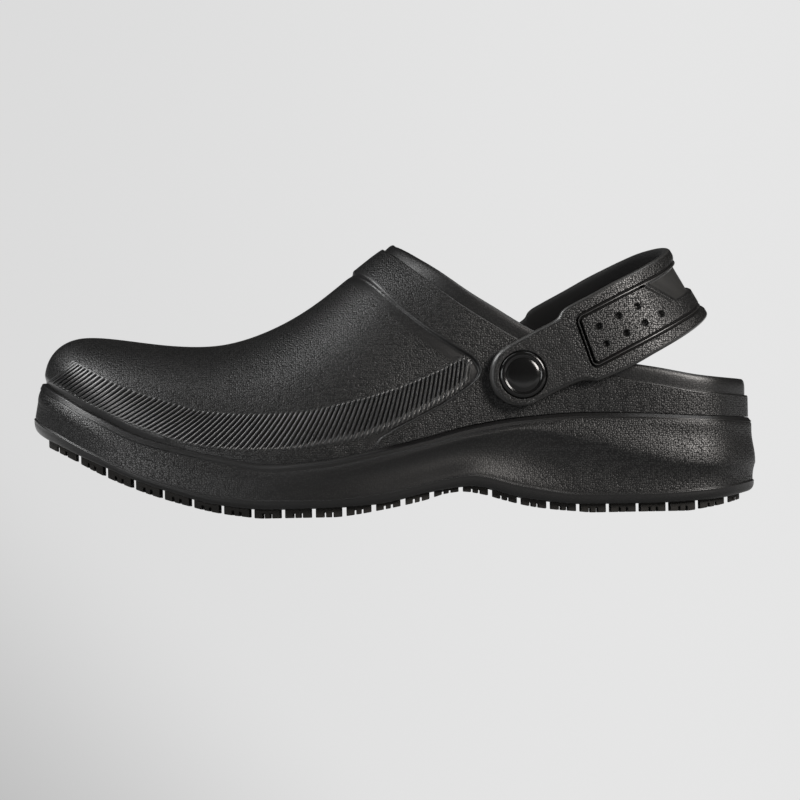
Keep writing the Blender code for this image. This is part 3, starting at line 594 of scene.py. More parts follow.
class Palette(NodeBench):
    """A material under work, with its nodes."""

    def __init__(self, name: str) -> None:
        """Starts a material with one Principled shader.

        Args:
            name: the material's name.
        """
        self.material = bpy.data.materials.new(name)
        self.material.use_nodes = True
        super().__init__(self.material.node_tree)
        self.shader = self.tree.nodes["Principled BSDF"]

    def places(self) -> NodeSocket:
        """The places on the piece, in metres."""
        return self.node("ShaderNodeTexCoord", {}, {}).outputs["Object"]

    def length(self, places: NodeSocket) -> Value:
        """The distance of places from the origin, in metres."""
        return self.value("ShaderNodeVectorMath", {"operation": "LENGTH"}, {0: places}, "Value")

    def note(self, name: str) -> Value:
        """A number noted on the mesh's points."""
        return self.value("ShaderNodeAttribute", {"attribute_name": name}, {}, "Fac")

    def noise(self, places: NodeSocket, size: float, detail: float, rough: float = 0.5) -> Value:
        """Soft noise with lumps of a size in millimetres."""
        inputs = {"Vector": places, "Scale": 1.0 / (size * MM), "Detail": detail, "Roughness": rough}
        return self.value("ShaderNodeTexNoise", {}, inputs, "Fac")

    def pebbles(self, places: NodeSocket, size: float) -> Value:
        """Domed pebbles set a size in millimetres apart, lowest in the seams between them."""
        inputs = {"Vector": places, "Scale": 1.0 / (size * MM), "Randomness": 0.7}
        away = self.value("ShaderNodeTexVoronoi", {"feature": "F1"}, inputs, "Distance")
        return 1.0 - 1.7 * (away * away)

    def swirl(self, places: NodeSocket, size: float, by: float) -> NodeSocket:
        """Places pushed about by noise, so that a pattern on them loses its order.

        Args:
            places: the places to push.
            size: size of the noise's lumps in millimetres.
            by: how far to push, in millimetres.

        Returns:
            The pushed places.
        """
        lumps = {"Vector": places, "Scale": 1.0 / (size * MM), "Detail": 1.0}
        noise = self.node("ShaderNodeTexNoise", {}, lumps).outputs["Color"]
        push = {0: noise, 1: (by * MM,) * 3, 2: places}
        return self.node("ShaderNodeVectorMath", {"operation": "MULTIPLY_ADD"}, push).outputs[0]

    def mix(self, share: Number, first: Triple, second: Triple) -> NodeSocket:
        """A colour between two."""
        inputs = {0: share, 6: (*first, 1.0), 7: (*second, 1.0)}
        return self.node("ShaderNodeMix", {"data_type": "RGBA"}, inputs).outputs[2]

    def bump(self, height: Value, depth: float) -> None:
        """Gives the shader a relief, where a height of 1 stands a depth in millimetres above 0."""
        node = self.node("ShaderNodeBump", {}, {"Height": height, "Strength": 1.0, "Distance": depth * MM})
        self.set(Normal=node.outputs["Normal"])

    def set(self, **values: object) -> None:
        """Sets the shader's own sockets, named with underscores for spaces."""
        for name, value in values.items():
            self.feed(self.shader.inputs[name.replace("_", " ")], value)


@dataclass(frozen=True)
class Finish:
    """What every finish has: a name, a colour, and a paler one that shows in places."""

    name: str
    color: Triple
    pale: Triple

    def paint(self) -> Material:
        """Makes the material.

        Returns:
            The material.
        """
        work = Palette(self.name)
        work.set(IOR=1.5)
        self.dress(work, work.places())
        return work.material

    def dress(self, work: Palette, places: NodeSocket) -> None:
        """Gives the material its own look, in each finish's own way."""
        raise NotImplementedError


@dataclass(frozen=True)
class FoamFinish(Finish):
    """Moulded foam whose skin shines on the tips of a pebble grain.

    A mesh's note gives the grain's strength, and below zero how dark a deep place is painted, as painted
    shade; pebble tips are painted paler, as painted glints.
    """

    pebble: float
    depth: float
    rough: float
    shine: float = 0.35
    plain_skin: float = 0.6
    plain_pale: float = 0.0

    def dress(self, work: Palette, places: NodeSocket) -> None:
        """Lays the grain, with a glossy skin on its tips, painted glints on them and painted shade in deep
        places.

        Args:
            work: the material under work.
            places: the places on the piece.
        """
        note = work.note(GRAIN)
        grain, deep = note.at_least(0.0), (-1.0 * note).at_least(0.0)
        loose = work.swirl(places, self.pebble * 4.0, self.pebble * 0.3)
        coarse = work.pebbles(loose, self.pebble)
        skin = work.noise(places, 0.25, 1.0)
        relief = grain * coarse + 0.02 * skin
        cloud = work.noise(places, 34.0, 2.0)
        # Base colour: paler pebble tips and darker seams are painted glints, the cloud is random tone, plain
        # places painted paler on some finishes are painted light, and deep places painted darker with their
        # coat taken off are painted shade.
        tips = coarse**4.0
        unshaded = 1.0 - deep
        painted_glint_and_tone = (grain * tips) * 0.8 + (0.2 * cloud + self.plain_pale * (1.0 - grain) ** 4.0) * unshaded
        skinned = (self.plain_skin + grain * (tips - self.plain_skin)) * unshaded
        rough = self.rough + 0.06 * cloud + 0.5 * deep
        work.set(Base_Color=work.mix(painted_glint_and_tone, self.color, self.pale), Roughness=rough, Coat_Weight=skinned)
        work.set(Specular_IOR_Level=self.shine, Coat_Roughness=self.rough, Coat_IOR=1.5)
        work.bump(relief, self.depth)


@dataclass(frozen=True)
class RubberFinish(Finish):
    """Matt tread rubber, a little dusty in places."""

    def dress(self, work: Palette, places: NodeSocket) -> None:
        """Lays the dust and a fine roughness.

        Args:
            work: the material under work.
            places: the places on the piece.
        """
        cloud = work.noise(places, 9.0, 4.0, 0.6)
        fine = work.noise(places, 0.5, 2.0)
        work.set(Base_Color=work.mix(0.5 * cloud, self.color, self.pale), Roughness=0.55 + 0.2 * cloud)
        work.set(Specular_IOR_Level=0.3)
        work.bump(fine, 0.05)


@dataclass(frozen=True)
class FootbedFinish(Finish):
    """Knitted cover of the footbed."""

    stitch: float = 1.1

    def dress(self, work: Palette, places: NodeSocket) -> None:
        """Lays the knit, as bands that cross, and its fuzz.

        Args:
            work: the material under work.
            places: the places on the piece.
        """
        scale = 1000.0 / self.stitch / 3.2
        inputs = {"Vector": places, "Scale": scale, "Distortion": 1.2, "Detail": 1.0, "Detail Scale": 2.0}
        warp, weft = (
            work.value("ShaderNodeTexWave", {"wave_type": "BANDS", "bands_direction": way}, inputs, "Fac")
            for way in "XY"
        )
        knit = 0.6 * warp + 0.4 * weft
        fuzz = work.noise(places, 0.4, 2.0)
        work.set(Base_Color=work.mix(knit * fuzz, self.color, self.pale), Roughness=0.85)
        work.set(Specular_IOR_Level=0.2)
        work.bump(knit + 0.3 * fuzz, 0.25)


@dataclass(frozen=True)
class GlossFinish(Finish):
    """Gloss moulded plastic of the rivets, with faint polishing marks."""

    rough: float = 0.12

    def dress(self, work: Palette, places: NodeSocket) -> None:
        """Lays the polishing marks.

        Args:
            work: the material under work.
            places: the places on the piece.
        """
        cloud = work.noise(places, 6.0, 3.0)
        marks = work.noise(places, 0.8, 4.0, 0.65)
        work.set(Base_Color=work.mix(0.5 * cloud, self.color, self.pale), Roughness=self.rough + 0.08 * marks)
        work.set(Specular_IOR_Level=0.5)
        work.bump(marks, 0.004)


@dataclass
class Last:
    """The foot-shaped form that the upper, the sole and the footbed are drawn on."""

    toe_face: float = 4.5
    heel_face: float = 291.5
    wall: float = 3.6
    panel_front: float = 60.0
    panel_back: float = 248.0
    halvings: int = 50
    side_steps: int = 40
    side_pace: float = 0.8
    side_top: float = 0.995

    def __post_init__(self) -> None:
        """Draws the curves through the tables."""
        turns = self.turn_of(column(SECTIONS, "at"))
        around = np.concatenate([turns, (FULL_TURN - turns)[-2::-1]])
        sides = np.concatenate([-column(SECTIONS, "lateral"), column(SECTIONS, "medial")[-2::-1]])
        self.outline_side = Curve(around, sides, Blend.LOOP)
        self.ridge_at = Curve(turns, column(SECTIONS, "ridge_at"), Blend.SMOOTH)
        self.ridge_side = Curve(turns, column(SECTIONS, "ridge_side"), Blend.SMOOTH)
        self.fullness = Curve(turns, column(SECTIONS, "fullness"), Blend.SMOOTH)
        self.ridge_height = drawn(RIDGE, "height", Blend.SMOOTH)
        self.collar_height = drawn(COLLAR, "height")
        self.lip_height = drawn(COLLAR, "lip")
        self.panel_reach = drawn(PANEL, "reach")
        self.tread_height = drawn(TREAD, "height")
        wall_turns = self.turn_of(column(WALLS, "at"))
        self.walls = {name: Curve(wall_turns, column(WALLS, name), Blend.LEVEL) for name in Wall._fields[1:]}

    def turn_of(self, at: Floats) -> Array:
        """The angle round the outline of a distance from the toe, 0 at the toe and pi at the heel."""
        share = (np.asarray(at, float) - self.toe_face) / (self.heel_face - self.toe_face)
        return np.arccos(np.clip(1.0 - 2.0 * share, -1.0, 1.0))

    def at_of(self, turn: Floats) -> Array:
        """The distance from the toe of an angle round the outline."""
        return self.toe_face + (self.heel_face - self.toe_face) * (1.0 - np.cos(turn)) / 2.0

    def wall_value(self, name: str, turn: Array) -> Array:
        """One named column of the sole's side at an angle round the outline, alike on both sides."""
        turn = np.asarray(turn, float)
        return self.walls[name](np.where(turn > math.pi, FULL_TURN - turn, turn))

    def rise_ends(self, half: Array) -> Tuple[Array, Array]:
        """The heights of the rim line and of the ridge, for an angle round half of the outline."""
        return self.wall_value("rim", half), self.ridge_height(self.ridge_at(half))

    def outline(self, turn: Array) -> Array:
        """Rim line of the upper seen from above, as distance from the toe and from the axis."""
        turn = np.asarray(turn, float)
        return np.stack([self.at_of(turn), self.outline_side(turn)], axis=-1)

    def outward(self, turn: Array) -> Array:
        """Finds the outward direction of the rim line, seen from above.

        Args:
            turn: angles round the outline.

        Returns:
            Directions of length 1.
        """
        step = 1e-4
        ahead, behind = (self.outline(np.mod(turn + way, FULL_TURN)) for way in (step, -step))
        along = ahead - behind
        return unit(np.stack([along[..., 1], -along[..., 0]], axis=-1))

    def ring(self, turns: Array, outset: Floats, height: Array) -> Array:
        """The rim line moved outwards and set to a height."""
        plan = self.outline(turns) + self.outward(turns) * np.broadcast_to(outset, turns.shape)[..., None]
        return np.concatenate([plan, np.broadcast_to(height, turns.shape)[..., None]], axis=-1)

    def point(self, at: Array, rise: Array, side: Side) -> Array:
        """Points of the last.

        Args:
            at: a section's distance from the toe.
            rise: the share of the rise from the rim line to the ridge.
            side: the side of the shoe.

        Returns:
            Points in millimetres.
        """
        half = self.turn_of(at)
        foot = self.outline(FULL_TURN - half if side is Side.INNER else half)
        top = np.stack([self.ridge_at(half), self.ridge_side(half)], axis=-1)
        power = self.fullness(half)
        spread = (1.0 - np.clip(rise, 0.0, 1.0) ** power) ** (1.0 / power)
        plan = between(top, foot, spread[..., None])
        height = between(*self.rise_ends(half), rise)
        return np.concatenate([plan, height[..., None]], axis=-1)

    def line_at(self, foot: Array, rise: Array) -> Array:
        """Finds where a line of the upper lies, as it follows the panel's rear edge.

        Args:
            foot: where the line starts on the rim line.
            rise: shares of the rise from the rim line to the ridge.

        Returns:
            Distances from the toe.
        """
        edge = PANEL[0].reach
        front = np.clip((foot - self.panel_front) / (edge - self.panel_front), 0.0, 1.0)
        back = np.clip((self.panel_back - foot) / (self.panel_back - edge), 0.0, 1.0)
        return foot + np.where(foot < edge, front, back) * (self.panel_reach(rise) - edge)

    def line_ends(self, feet: Array, side: Side) -> Array:
        """Finds where each line meets the collar.

        Args:
            feet: foot stations of the lines.
            side: the side of the shoe.

        Returns:
            Shares of the rise from the rim line to the ridge.
        """
        low, high = np.zeros(len(feet)), np.ones(len(feet))
        for _ in range(self.halvings):
            middle = (low + high) / 2.0
            point = self.point(self.line_at(feet, middle), middle, side)
            under = point[:, 2] < self.collar_height(point[:, 0])
            low = np.where(under, middle, low)
            high = np.where(under, high, middle)
        return low

    def on_side(self, along: Array, height: Array, side: Side) -> Array:
        """Points of the last that a side view shows at a place.

        Args:
            along: distances from the toe tip.
            height: heights from the floor.
            side: the side of the shoe.

        Returns:
            Points in millimetres.
        """
        at = np.array(along, float)
        for _ in range(self.side_steps):
            low, high = self.rise_ends(self.turn_of(at))
            rise = np.clip((height - low) / (high - low), 0.0, self.side_top)
            miss = along - self.point(at, rise, side)[..., 0]
            at = np.clip(at + self.side_pace * miss, self.toe_face, self.heel_face)
        return self.point(at, rise, side)


class Rib(NamedTuple):
    """A rib's spacing and lean at the place of its lower end."""

    at: float
    pitch: float
    lean: float


RIBS = table(
    Rib,
    (5.9, 1.0, 10.6), (9.0, 1.25, 10.8), (13.0, 1.5, 11.0), (18.0, 1.68, 11.2), (25.0, 1.7, 11.6),
    (32.0, 1.76, 13.0), (40.0, 1.84, 14.0), (50.0, 1.95, 14.9), (60.0, 2.17, 14.5), (70.0, 2.31, 13.9),
    (80.0, 2.43, 12.6), (90.0, 2.45, 11.4), (100.0, 2.4, 10.0), (120.0, 2.31, 7.9), (130.0, 2.3, 6.8),
    (140.0, 2.23, 5.3), (150.0, 2.13, 3.9), (160.0, 2.02, 2.75), (170.0, 1.94, 2.1), (178.0, 1.9, 1.3),
)

RIB_TOP = table(
    Height,
    (8.0, 69.5), (14.4, 67.0), (22.9, 62.3), (36.3, 55.1), (53.0, 49.1), (71.8, 44.0), (90.6, 42.6),
    (109.5, 43.2), (130.5, 47.2), (142.3, 50.1), (151.5, 53.0), (159.9, 56.2), (169.3, 60.4), (175.1, 63.3),
    (177.0, 64.0), (178.4, 63.0), (180.0, 61.5),
)

RIB_LOW = table(
    Height,
    (8.0, 57.6), (14.2, 53.6), (22.0, 49.0), (30.8, 44.6), (48.7, 36.6), (67.4, 30.5), (85.8, 28.4),
    (103.9, 28.2), (119.5, 29.6), (130.2, 31.2), (143.5, 35.2), (155.4, 40.5), (167.1, 46.7), (173.0, 50.0),
    (178.0, 54.5),
)


@dataclass
class RibField:
    """The field of slots that is engraved into the vamp's side.

    A bar is half of a rib and half of the slot beside it: shares of the pitch, and levels from 0.1 on the
    rib to -1 in the slot.
    """

    last: Last
    first: float = 5.9
    final: float = 177.2
    slot_depth: float = 0.9
    bow: float = 0.03
    tip_bead: float = 0.16
    bead_at: float = 0.55
    bead_wide: float = 0.45
    sink: float = 1.5
    sink_edge: Span = (0.2, 1.6)
    sink_ends: Span = (1.0, 0.6)
    margin: float = 0.9
    float_off: float = 0.025
    border_sink: float = 0.12
    rows: int = 26
    foot_steps: int = 60
    toe_blend: Span = (28.0, 62.0)
    end_fade: Span = (1.2, 1.5)
    rear: Span = (95.0, 125.0)
    low_round: Span = (0.9, 3.2)
    tip_round: float = 0.9
    low_grain: Span = (40.0, 75.0)
    toe_bar: Tuple[Span, ...] = (
        (0.0, 0.1), (0.1, 0.09), (0.2, 0.06), (0.27, 0.0), (0.32, -0.2), (0.36, -0.75), (0.43, -1.0),
    )
    bar: Tuple[Span, ...] = (
        (0.0, 0.1), (0.08, 0.073), (0.17, -0.015), (0.26, -0.19), (0.34, -0.4), (0.39, -0.8), (0.45, -1.0),
    )

    def __post_init__(self) -> None:
        """Draws the curves of the field's edges and of its ribs."""
        self.pitch = drawn(RIBS, "pitch")
        self.lean = drawn(RIBS, "lean")
        self.top = drawn(RIB_TOP, "height")
        self.low = drawn(RIB_LOW, "height")

    def sunk(self, points: Array) -> Array:
        """How deep the upper's wall lies under the field, at points of its surface.

        Args:
            points: points in millimetres.

        Returns:
            Depths in millimetres.
        """
        along, height = points[..., 0], points[..., 2]
        foot = along.copy()
        for _ in range(self.foot_steps):
            tip = foot + self.lean(foot)
            share = (height - self.low(foot)) / (self.top(tip) - self.low(foot))
            held = np.clip(share, 0.0, 1.0)
            held = held + self.bow * np.sin(math.pi * held)
            foot = 0.5 * foot + 0.5 * (along - self.lean(foot) * held)
        tall = np.hypot(self.lean(foot), self.top(tip) - self.low(foot))
        ends = np.minimum(foot - self.first - self.sink_ends[0], self.final - self.sink_ends[1] - foot)
        inside = np.minimum(np.minimum(share, 1.0 - share) * tall, ends)
        return self.sink * ease(*self.sink_edge, inside)

    def columns(self) -> Tuple[Array, Array]:
        """Sets out the columns of the field's sheet, which follow its ribs.

        Returns:
            Each column's foot, as a distance from the toe, and its level.
        """
        feet = [self.first]
        while feet[-1] < self.final:
            feet.append(feet[-1] + float(self.pitch(feet[-1])))
        count = len(feet) - 1
        shares, level = [], []
        for k in range(count):
            inward = float(ease(*self.toe_blend, feet[k]))
            half = np.array(self.toe_bar) * (1.0 - inward) + np.array(self.bar) * inward
            shares += [*(k + half[:, 0]), *(k + 1.0 - half[:0:-1, 0])]
            level += [*half[:, 1], *half[:0:-1, 1]]
        shares, level = np.array(shares), np.array(level)
        fade = ease(0.0, self.end_fade[0], shares) * ease(0.0, self.end_fade[1], count - shares)
        return np.interp(shares, np.arange(count + 1), feet), level * np.where(level < 0.0, fade, 1.0)

    def build(self, side: Side, surface: Material) -> Object:
        """Models the field on one side.

        Args:
            side: the side of the shoe.
            surface: its material.

        Returns:
            The finished piece.
        """
        foot, level = self.columns()
        tip = foot + self.lean(foot)
        low, high = self.low(foot), self.top(tip)
        length = np.hypot(tip - foot, high - low)
        steps = np.sin(np.linspace(-0.5, 0.5, self.rows - 4) * math.pi) * 0.5 + 0.5
        grid = np.concatenate([[-1.0, -0.5], steps, [1.5, 2.0]])[:, None]
        spare = self.margin / length
        up = np.where(grid < 0.0, grid * spare, grid)
        up = np.where(grid > 1.0, 1.0 + (grid - 1.0) * spare, up)
        bowed = up + self.bow * np.sin(math.pi * np.clip(up, 0.0, 1.0))
        points = self.last.on_side(between(foot, tip, bowed), between(low, high, up), side)
        normals = np.cross(np.gradient(points, axis=1), np.gradient(points, axis=0))
        normals = unit(normals) * (1.0 if side is Side.OUTER else -1.0)

        # Slots run out softly at both ends, and behind the ball a bead closes their tips.
        rear = ease(*self.rear, foot)
        start = np.clip(up * length / (self.low_round[0] + self.low_round[1] * rear), 0.0, 1.0)
        ends = start * start * (3.0 - 2.0 * start) * ease(0.0, self.tip_round, (1.0 - up) * length)
        relief = level * np.where(level < 0.0, ends * self.slot_depth, 1.0)
        bead = np.exp(-(((1.0 - up) * length - self.bead_at) / self.bead_wide) ** 2)
        bead = bead * rear * ease(-0.3, 0.0, level)
        relief = relief + self.tip_bead * bead * (up < 1.0)

        # The sheet's outermost points dip into the upper's wall.
        place = np.arange(len(foot))
        border = (grid <= -1.0) | (grid >= 2.0) | (place < 1) | (place > len(foot) - 2)
        relief = np.where(border, -self.border_sink, relief + self.float_off)
        grain = np.where(up > 1.0, 1.0, 0.0) + np.where(up < 0.0, ease(*self.low_grain, foot), 0.0)
        made = Workbench.sheet(f"rib_field_{side.word}", points + normals * relief[..., None], grain)
        Workbench.weld(made, 0.0005)
        Workbench.finish(made, surface, "upper_foam", 75.0)
        return made


@dataclass
class Upper:
    """The moulded foam shell with its vamp panel, collar, lip and counter."""

    last: Last
    ribs: RibField
    overlay_step: float = 1.2
    overlay_run: float = 13.0
    edge_smooth: float = 0.85
    edge_smooth_from: Span = (-3.4, -2.4)
    edge_smooth_to: Span = (0.9, 2.0)
    fillet: Span = (1.8, 4.5)
    fillet_ends: Span = (40.0, 75.0)
    undercut: float = 0.8
    undercut_tall: float = 3.6
    undercut_ends: Span = (45.0, 85.0)
    lip_stand: float = 0.25
    tuck: float = 1.8
    rim_gap: float = 0.05
    seat_gap: float = 0.3
    front_lines: int = 110
    edge_lines: Triple = (-4.4, 5.2, 0.35)
    throat_lines: int = 9
    throat_room: float = 40.0
    back_lines: int = 110
    back_crowd: float = 1.7
    halvings: int = 60
    rows: int = 60
    collar_grain: Tuple[float, ...] = (0.8, 0.4, 0.1, 0.0, 0.0, 0.0, 0.1)
    lip_grain: float = 0.4
    lining_grain: float = 0.35
    foot_grain: float = 0.3
    edge_strength: Tuple[Span, ...] = (
        (0.0, 0.1), (0.04, 0.45), (0.08, 0.9), (0.15, 1.0), (0.3, 1.0),
        (0.42, 0.75), (0.58, 0.52), (0.76, 0.48), (0.88, 0.65), (1.0, 0.8),
    )
    edge_profile: Tuple[Span, ...] = (
        (-2.6, 0.0), (-1.8, -0.07), (-1.1, -0.22), (-0.5, -0.34), (-0.05, -0.3),
        (0.2, 0.2), (0.45, 0.72), (0.75, 1.08), (1.1, 1.22), (1.6, 1.2),
    )
    lip_profile: Tuple[Triple, ...] = (
        (0.0, 0.12, 0.0), (0.12, 0.42, 0.0), (0.45, 0.6, 0.0), (0.85, 0.5, 0.0), (1.1, 0.1, 0.0),
        (1.22, -0.2, 0.0), (1.3, 0.15, 0.0), (1.26, 0.0, 0.2), (1.2, 0.0, 0.42), (1.22, 0.0, 0.6),
        (1.32, 0.0, 0.74), (1.55, 0.0, 0.86), (1.95, 0.0, 0.95), (2.45, 0.0, 0.99), (2.95, 0.0, 1.0),
        (3.4, 0.0, 0.97), (3.7, 0.0, 0.91), (3.88, 0.0, 0.8), (4.05, 0.0, 0.6), (4.4, 0.0, 0.3),
    )

    def lines(self) -> Tuple[Array, int]:
        """Foot stations of the shell's lines.

        Returns:
            The stations, and the number of the line that ends at the throat.
        """
        last = self.last
        edge = PANEL[0].reach
        near_edge = edge + np.arange(*self.edge_lines)
        front = last.at_of(np.linspace(0.0, float(last.turn_of(near_edge[0])), self.front_lines)[:-1])
        low, high = edge, edge + self.throat_room
        for _ in range(self.halvings):
            middle = (low + high) / 2.0
            if last.line_at(np.array([middle]), np.array([1.0]))[0] < COLLAR[0].at:
                low = middle
            else:
                high = middle
        throat = np.linspace(near_edge[-1], low, self.throat_lines)[1:]
        shares = np.linspace(0.0, 1.0, self.back_lines)[1:] ** self.back_crowd
        back = last.at_of(between(float(last.turn_of(low)), math.pi, shares))
        feet = np.concatenate([front, near_edge, throat, back])
        return feet, len(feet) - len(back) - 1

    def skin(self, feet: Array, throat: int, side: Side) -> Tuple[Array, Array, Array]:
        """The bare form of one side, how far it is raised behind the panel's edge, and its grain.

        Args:
            feet: foot stations of the lines.
            throat: number of the line that ends at the throat.
            side: the side of the shoe.

        Returns:
            Points as lines and rows, each point's step outwards in millimetres, and the grain's strength.
        """
        last = self.last
        ends = np.where(np.arange(len(feet)) <= throat, 1.0, last.line_ends(feet, side))
        power = last.fullness(last.turn_of(feet))
        top = np.arcsin(np.clip(ends ** (power / 2.0), 0.0, 1.0))
        share = np.linspace(0.0, 1.0, self.rows + 1)
        rise = np.sin(top[:, None] * share) ** (2.0 / power[:, None])
        foot = np.broadcast_to(feet[:, None], rise.shape)
        line = last.line_at(foot, rise)
        points = last.point(line, rise, side)

        # Distance behind the panel's rear edge, square to it.
        step = 1e-3
        slope = (last.panel_reach(rise + step) - last.panel_reach(rise - step)) / (2.0 * step)
        low, high = last.rise_ends(last.turn_of(line))
        behind = (foot - PANEL[0].reach) / np.sqrt(1.0 + (slope / (high - low)) ** 2)
        strength = Curve(*np.array(self.edge_strength).T)(rise)
        sharp = np.interp(behind, *np.array(self.edge_profile).T)
        slow = self.overlay_step * ease(0.0, self.overlay_run, behind)

        tall = rise * (high - low)
        under = self.undercut * (1.0 - ease(0.0, self.undercut_tall, tall))
        under = under * (1.0 - ease(*self.undercut_ends, points[..., 0]))
        plain = self.edge_smooth * ease(*self.edge_smooth_from, behind)
        plain = plain * (1.0 - ease(*self.edge_smooth_to, behind)) * ease(0.2, 0.8, strength)
        fillet = (1.0 - ease(*self.fillet, tall)) * (1.0 - ease(*self.fillet_ends, points[..., 0]))
        return points, strength * sharp + (1.0 - strength) * slow - under, 1.0 - np.maximum(plain, fillet)

    @staticmethod
    def normals(halves: Halves, throat: int) -> Halves:
        """Outward directions at the points of both sides, alike along the lines where they meet.

        Args:
            halves: points of both sides.
            throat: number of the line that ends at the throat.

        Returns:
            Directions of both sides.
        """
        found = {}
        for side, points in halves.items():
            across = np.cross(points[1:, 1:] - points[:-1, :-1], points[:-1, 1:] - points[1:, :-1])
            across = across * (1.0 if side is Side.OUTER else -1.0)
            total = np.zeros_like(points)
            for i, j in ((0, 0), (1, 0), (0, 1), (1, 1)):
                total[i : i + across.shape[0], j : j + across.shape[1]] += across
            found[side] = total
        outer, inner = found[Side.OUTER], found[Side.INNER]
        for line in (0, -1):
            outer[line] = inner[line] = outer[line] + inner[line]
        ridge = outer[: throat + 1, -1] + inner[: throat + 1, -1]
        outer[: throat + 1, -1] = inner[: throat + 1, -1] = ridge
        return {side: unit(total) for side, total in found.items()}

    @staticmethod
    def round_trip(halves: Halves, first: int, row: int) -> Array:
        """One row of both sides as a closed loop: along the outer side to the heel and back to the start."""
        return np.concatenate([halves[Side.OUTER][first:, row], halves[Side.INNER][first:-1, row][::-1]])

    def build(self, surface: Material) -> Object:
        """Models the shell.

        Args:
            surface: its material.

        Returns:
            The finished piece.
        """
        feet, throat = self.lines()
        bare, step, grain = {}, {}, {}
        for side in Side:
            bare[side], step[side], grain[side] = self.skin(feet, throat, side)
        out = self.normals(bare, throat)
        outer, inner, sheets = {}, {}, []
        for side in Side:
            raised = step[side] - self.ribs.sunk(bare[side])
            outer[side] = bare[side] + out[side] * raised[..., None]
            inner[side] = bare[side] - out[side] * self.last.wall
            outer[side][:, 0, 2] += self.rim_gap
            sheets.append(Workbench.sheet(f"skin_{side.word}", outer[side], grain[side]))
            sheets.append(Workbench.sheet(f"lining_{side.word}", inner[side], self.lining_grain))
        sheets.append(self.lip(outer, inner, out, throat))
        sheets.append(self.foot(feet, outer, inner))
        made = Workbench.join("upper_shell", sheets)
        Workbench.weld(made)
        Workbench.finish(made, surface, "upper_foam", 60.0, ["upper"])
        return made

    def lip(self, outer: Halves, inner: Halves, out: Halves, throat: int) -> Object:
        """The rounded collar edge and the thin smooth lip above it.

        Args:
            outer: outer points of both sides.
            inner: inner points of both sides.
            out: outward directions of both sides.
            throat: number of the line that ends at the throat.

        Returns:
            The lip's sheet.
        """
        edge = self.round_trip(outer, throat, -1)
        away = self.round_trip(out, throat, -1)
        along = np.roll(edge[:-1], -1, axis=0) - np.roll(edge[:-1], 1, axis=0)
        along = np.concatenate([along, along[:1]])
        up = unit(np.cross(away, along))
        up = np.where((up[:, 2] < 0.0)[:, None], -up, up)
        up = unit(up + np.array([0.0, 0.0, self.lip_stand]))
        tall = self.last.lip_height(edge[:, 0])[:, None]
        rows = [edge]
        for deep, high, share in self.lip_profile:
            rows.append(edge - away * deep + up * (high + share * tall))
        rows.append(self.round_trip(inner, throat, -1))
        grain = np.full((len(rows), 1), self.lip_grain)
        grain[: len(self.collar_grain), 0] = self.collar_grain
        return Workbench.sheet("lip", np.array(rows), grain)

    def foot(self, feet: Array, outer: Halves, inner: Halves) -> Object:
        """The hidden lower edge that stands inside the sole's rim.

        Args:
            feet: foot stations of the lines.
            outer: outer points of both sides.
            inner: inner points of both sides.

        Returns:
            The edge's sheet.
        """
        half = self.last.turn_of(feet)
        turns = np.concatenate([half, (FULL_TURN - half)[:-1][::-1]])
        edge, lining = self.round_trip(outer, 0, 0), self.round_trip(inner, 0, 0)
        step = edge.copy()
        step[:, :2] -= self.last.outward(turns) * self.tuck
        sunk, lining_low = step.copy(), lining.copy()
        sunk[:, 2] = lining_low[:, 2] = self.last.wall_value("bed", turns) + self.seat_gap
        return Workbench.sheet("foot_edge", np.array([edge, step, sunk, lining_low, lining]), self.foot_grain)


class Shoulder(NamedTuple):
    """The sole's shoulder: height and hollowness of its slope, its smooth band, its groove, and the grain."""

    at: float
    slope: float
    hollow: float
    band: float
    groove: float
    grain: float


SHOULDERS = table(
    Shoulder,
    (4.5, 2.0, 0.0, 0.2, 0.36, 1.0), (45.0, 2.0, 0.0, 0.2, 0.36, 1.0), (62.0, 1.8, 0.25, 0.3, 0.24, 0.9),
    (85.0, 1.7, 0.8, 0.4, 0.1, 0.6), (115.0, 1.7, 1.0, 0.3, 0.03, 0.25), (165.0, 1.8, 1.0, 0.3, 0.0, 0.2),
    (185.0, 1.7, 0.8, 0.4, 0.02, 0.45), (215.0, 1.6, 0.2, 0.3, 0.14, 0.8),
    (240.0, 1.6, 0.0, 0.2, 0.28, 1.0), (291.5, 1.6, 0.0, 0.2, 0.3, 1.0),
)


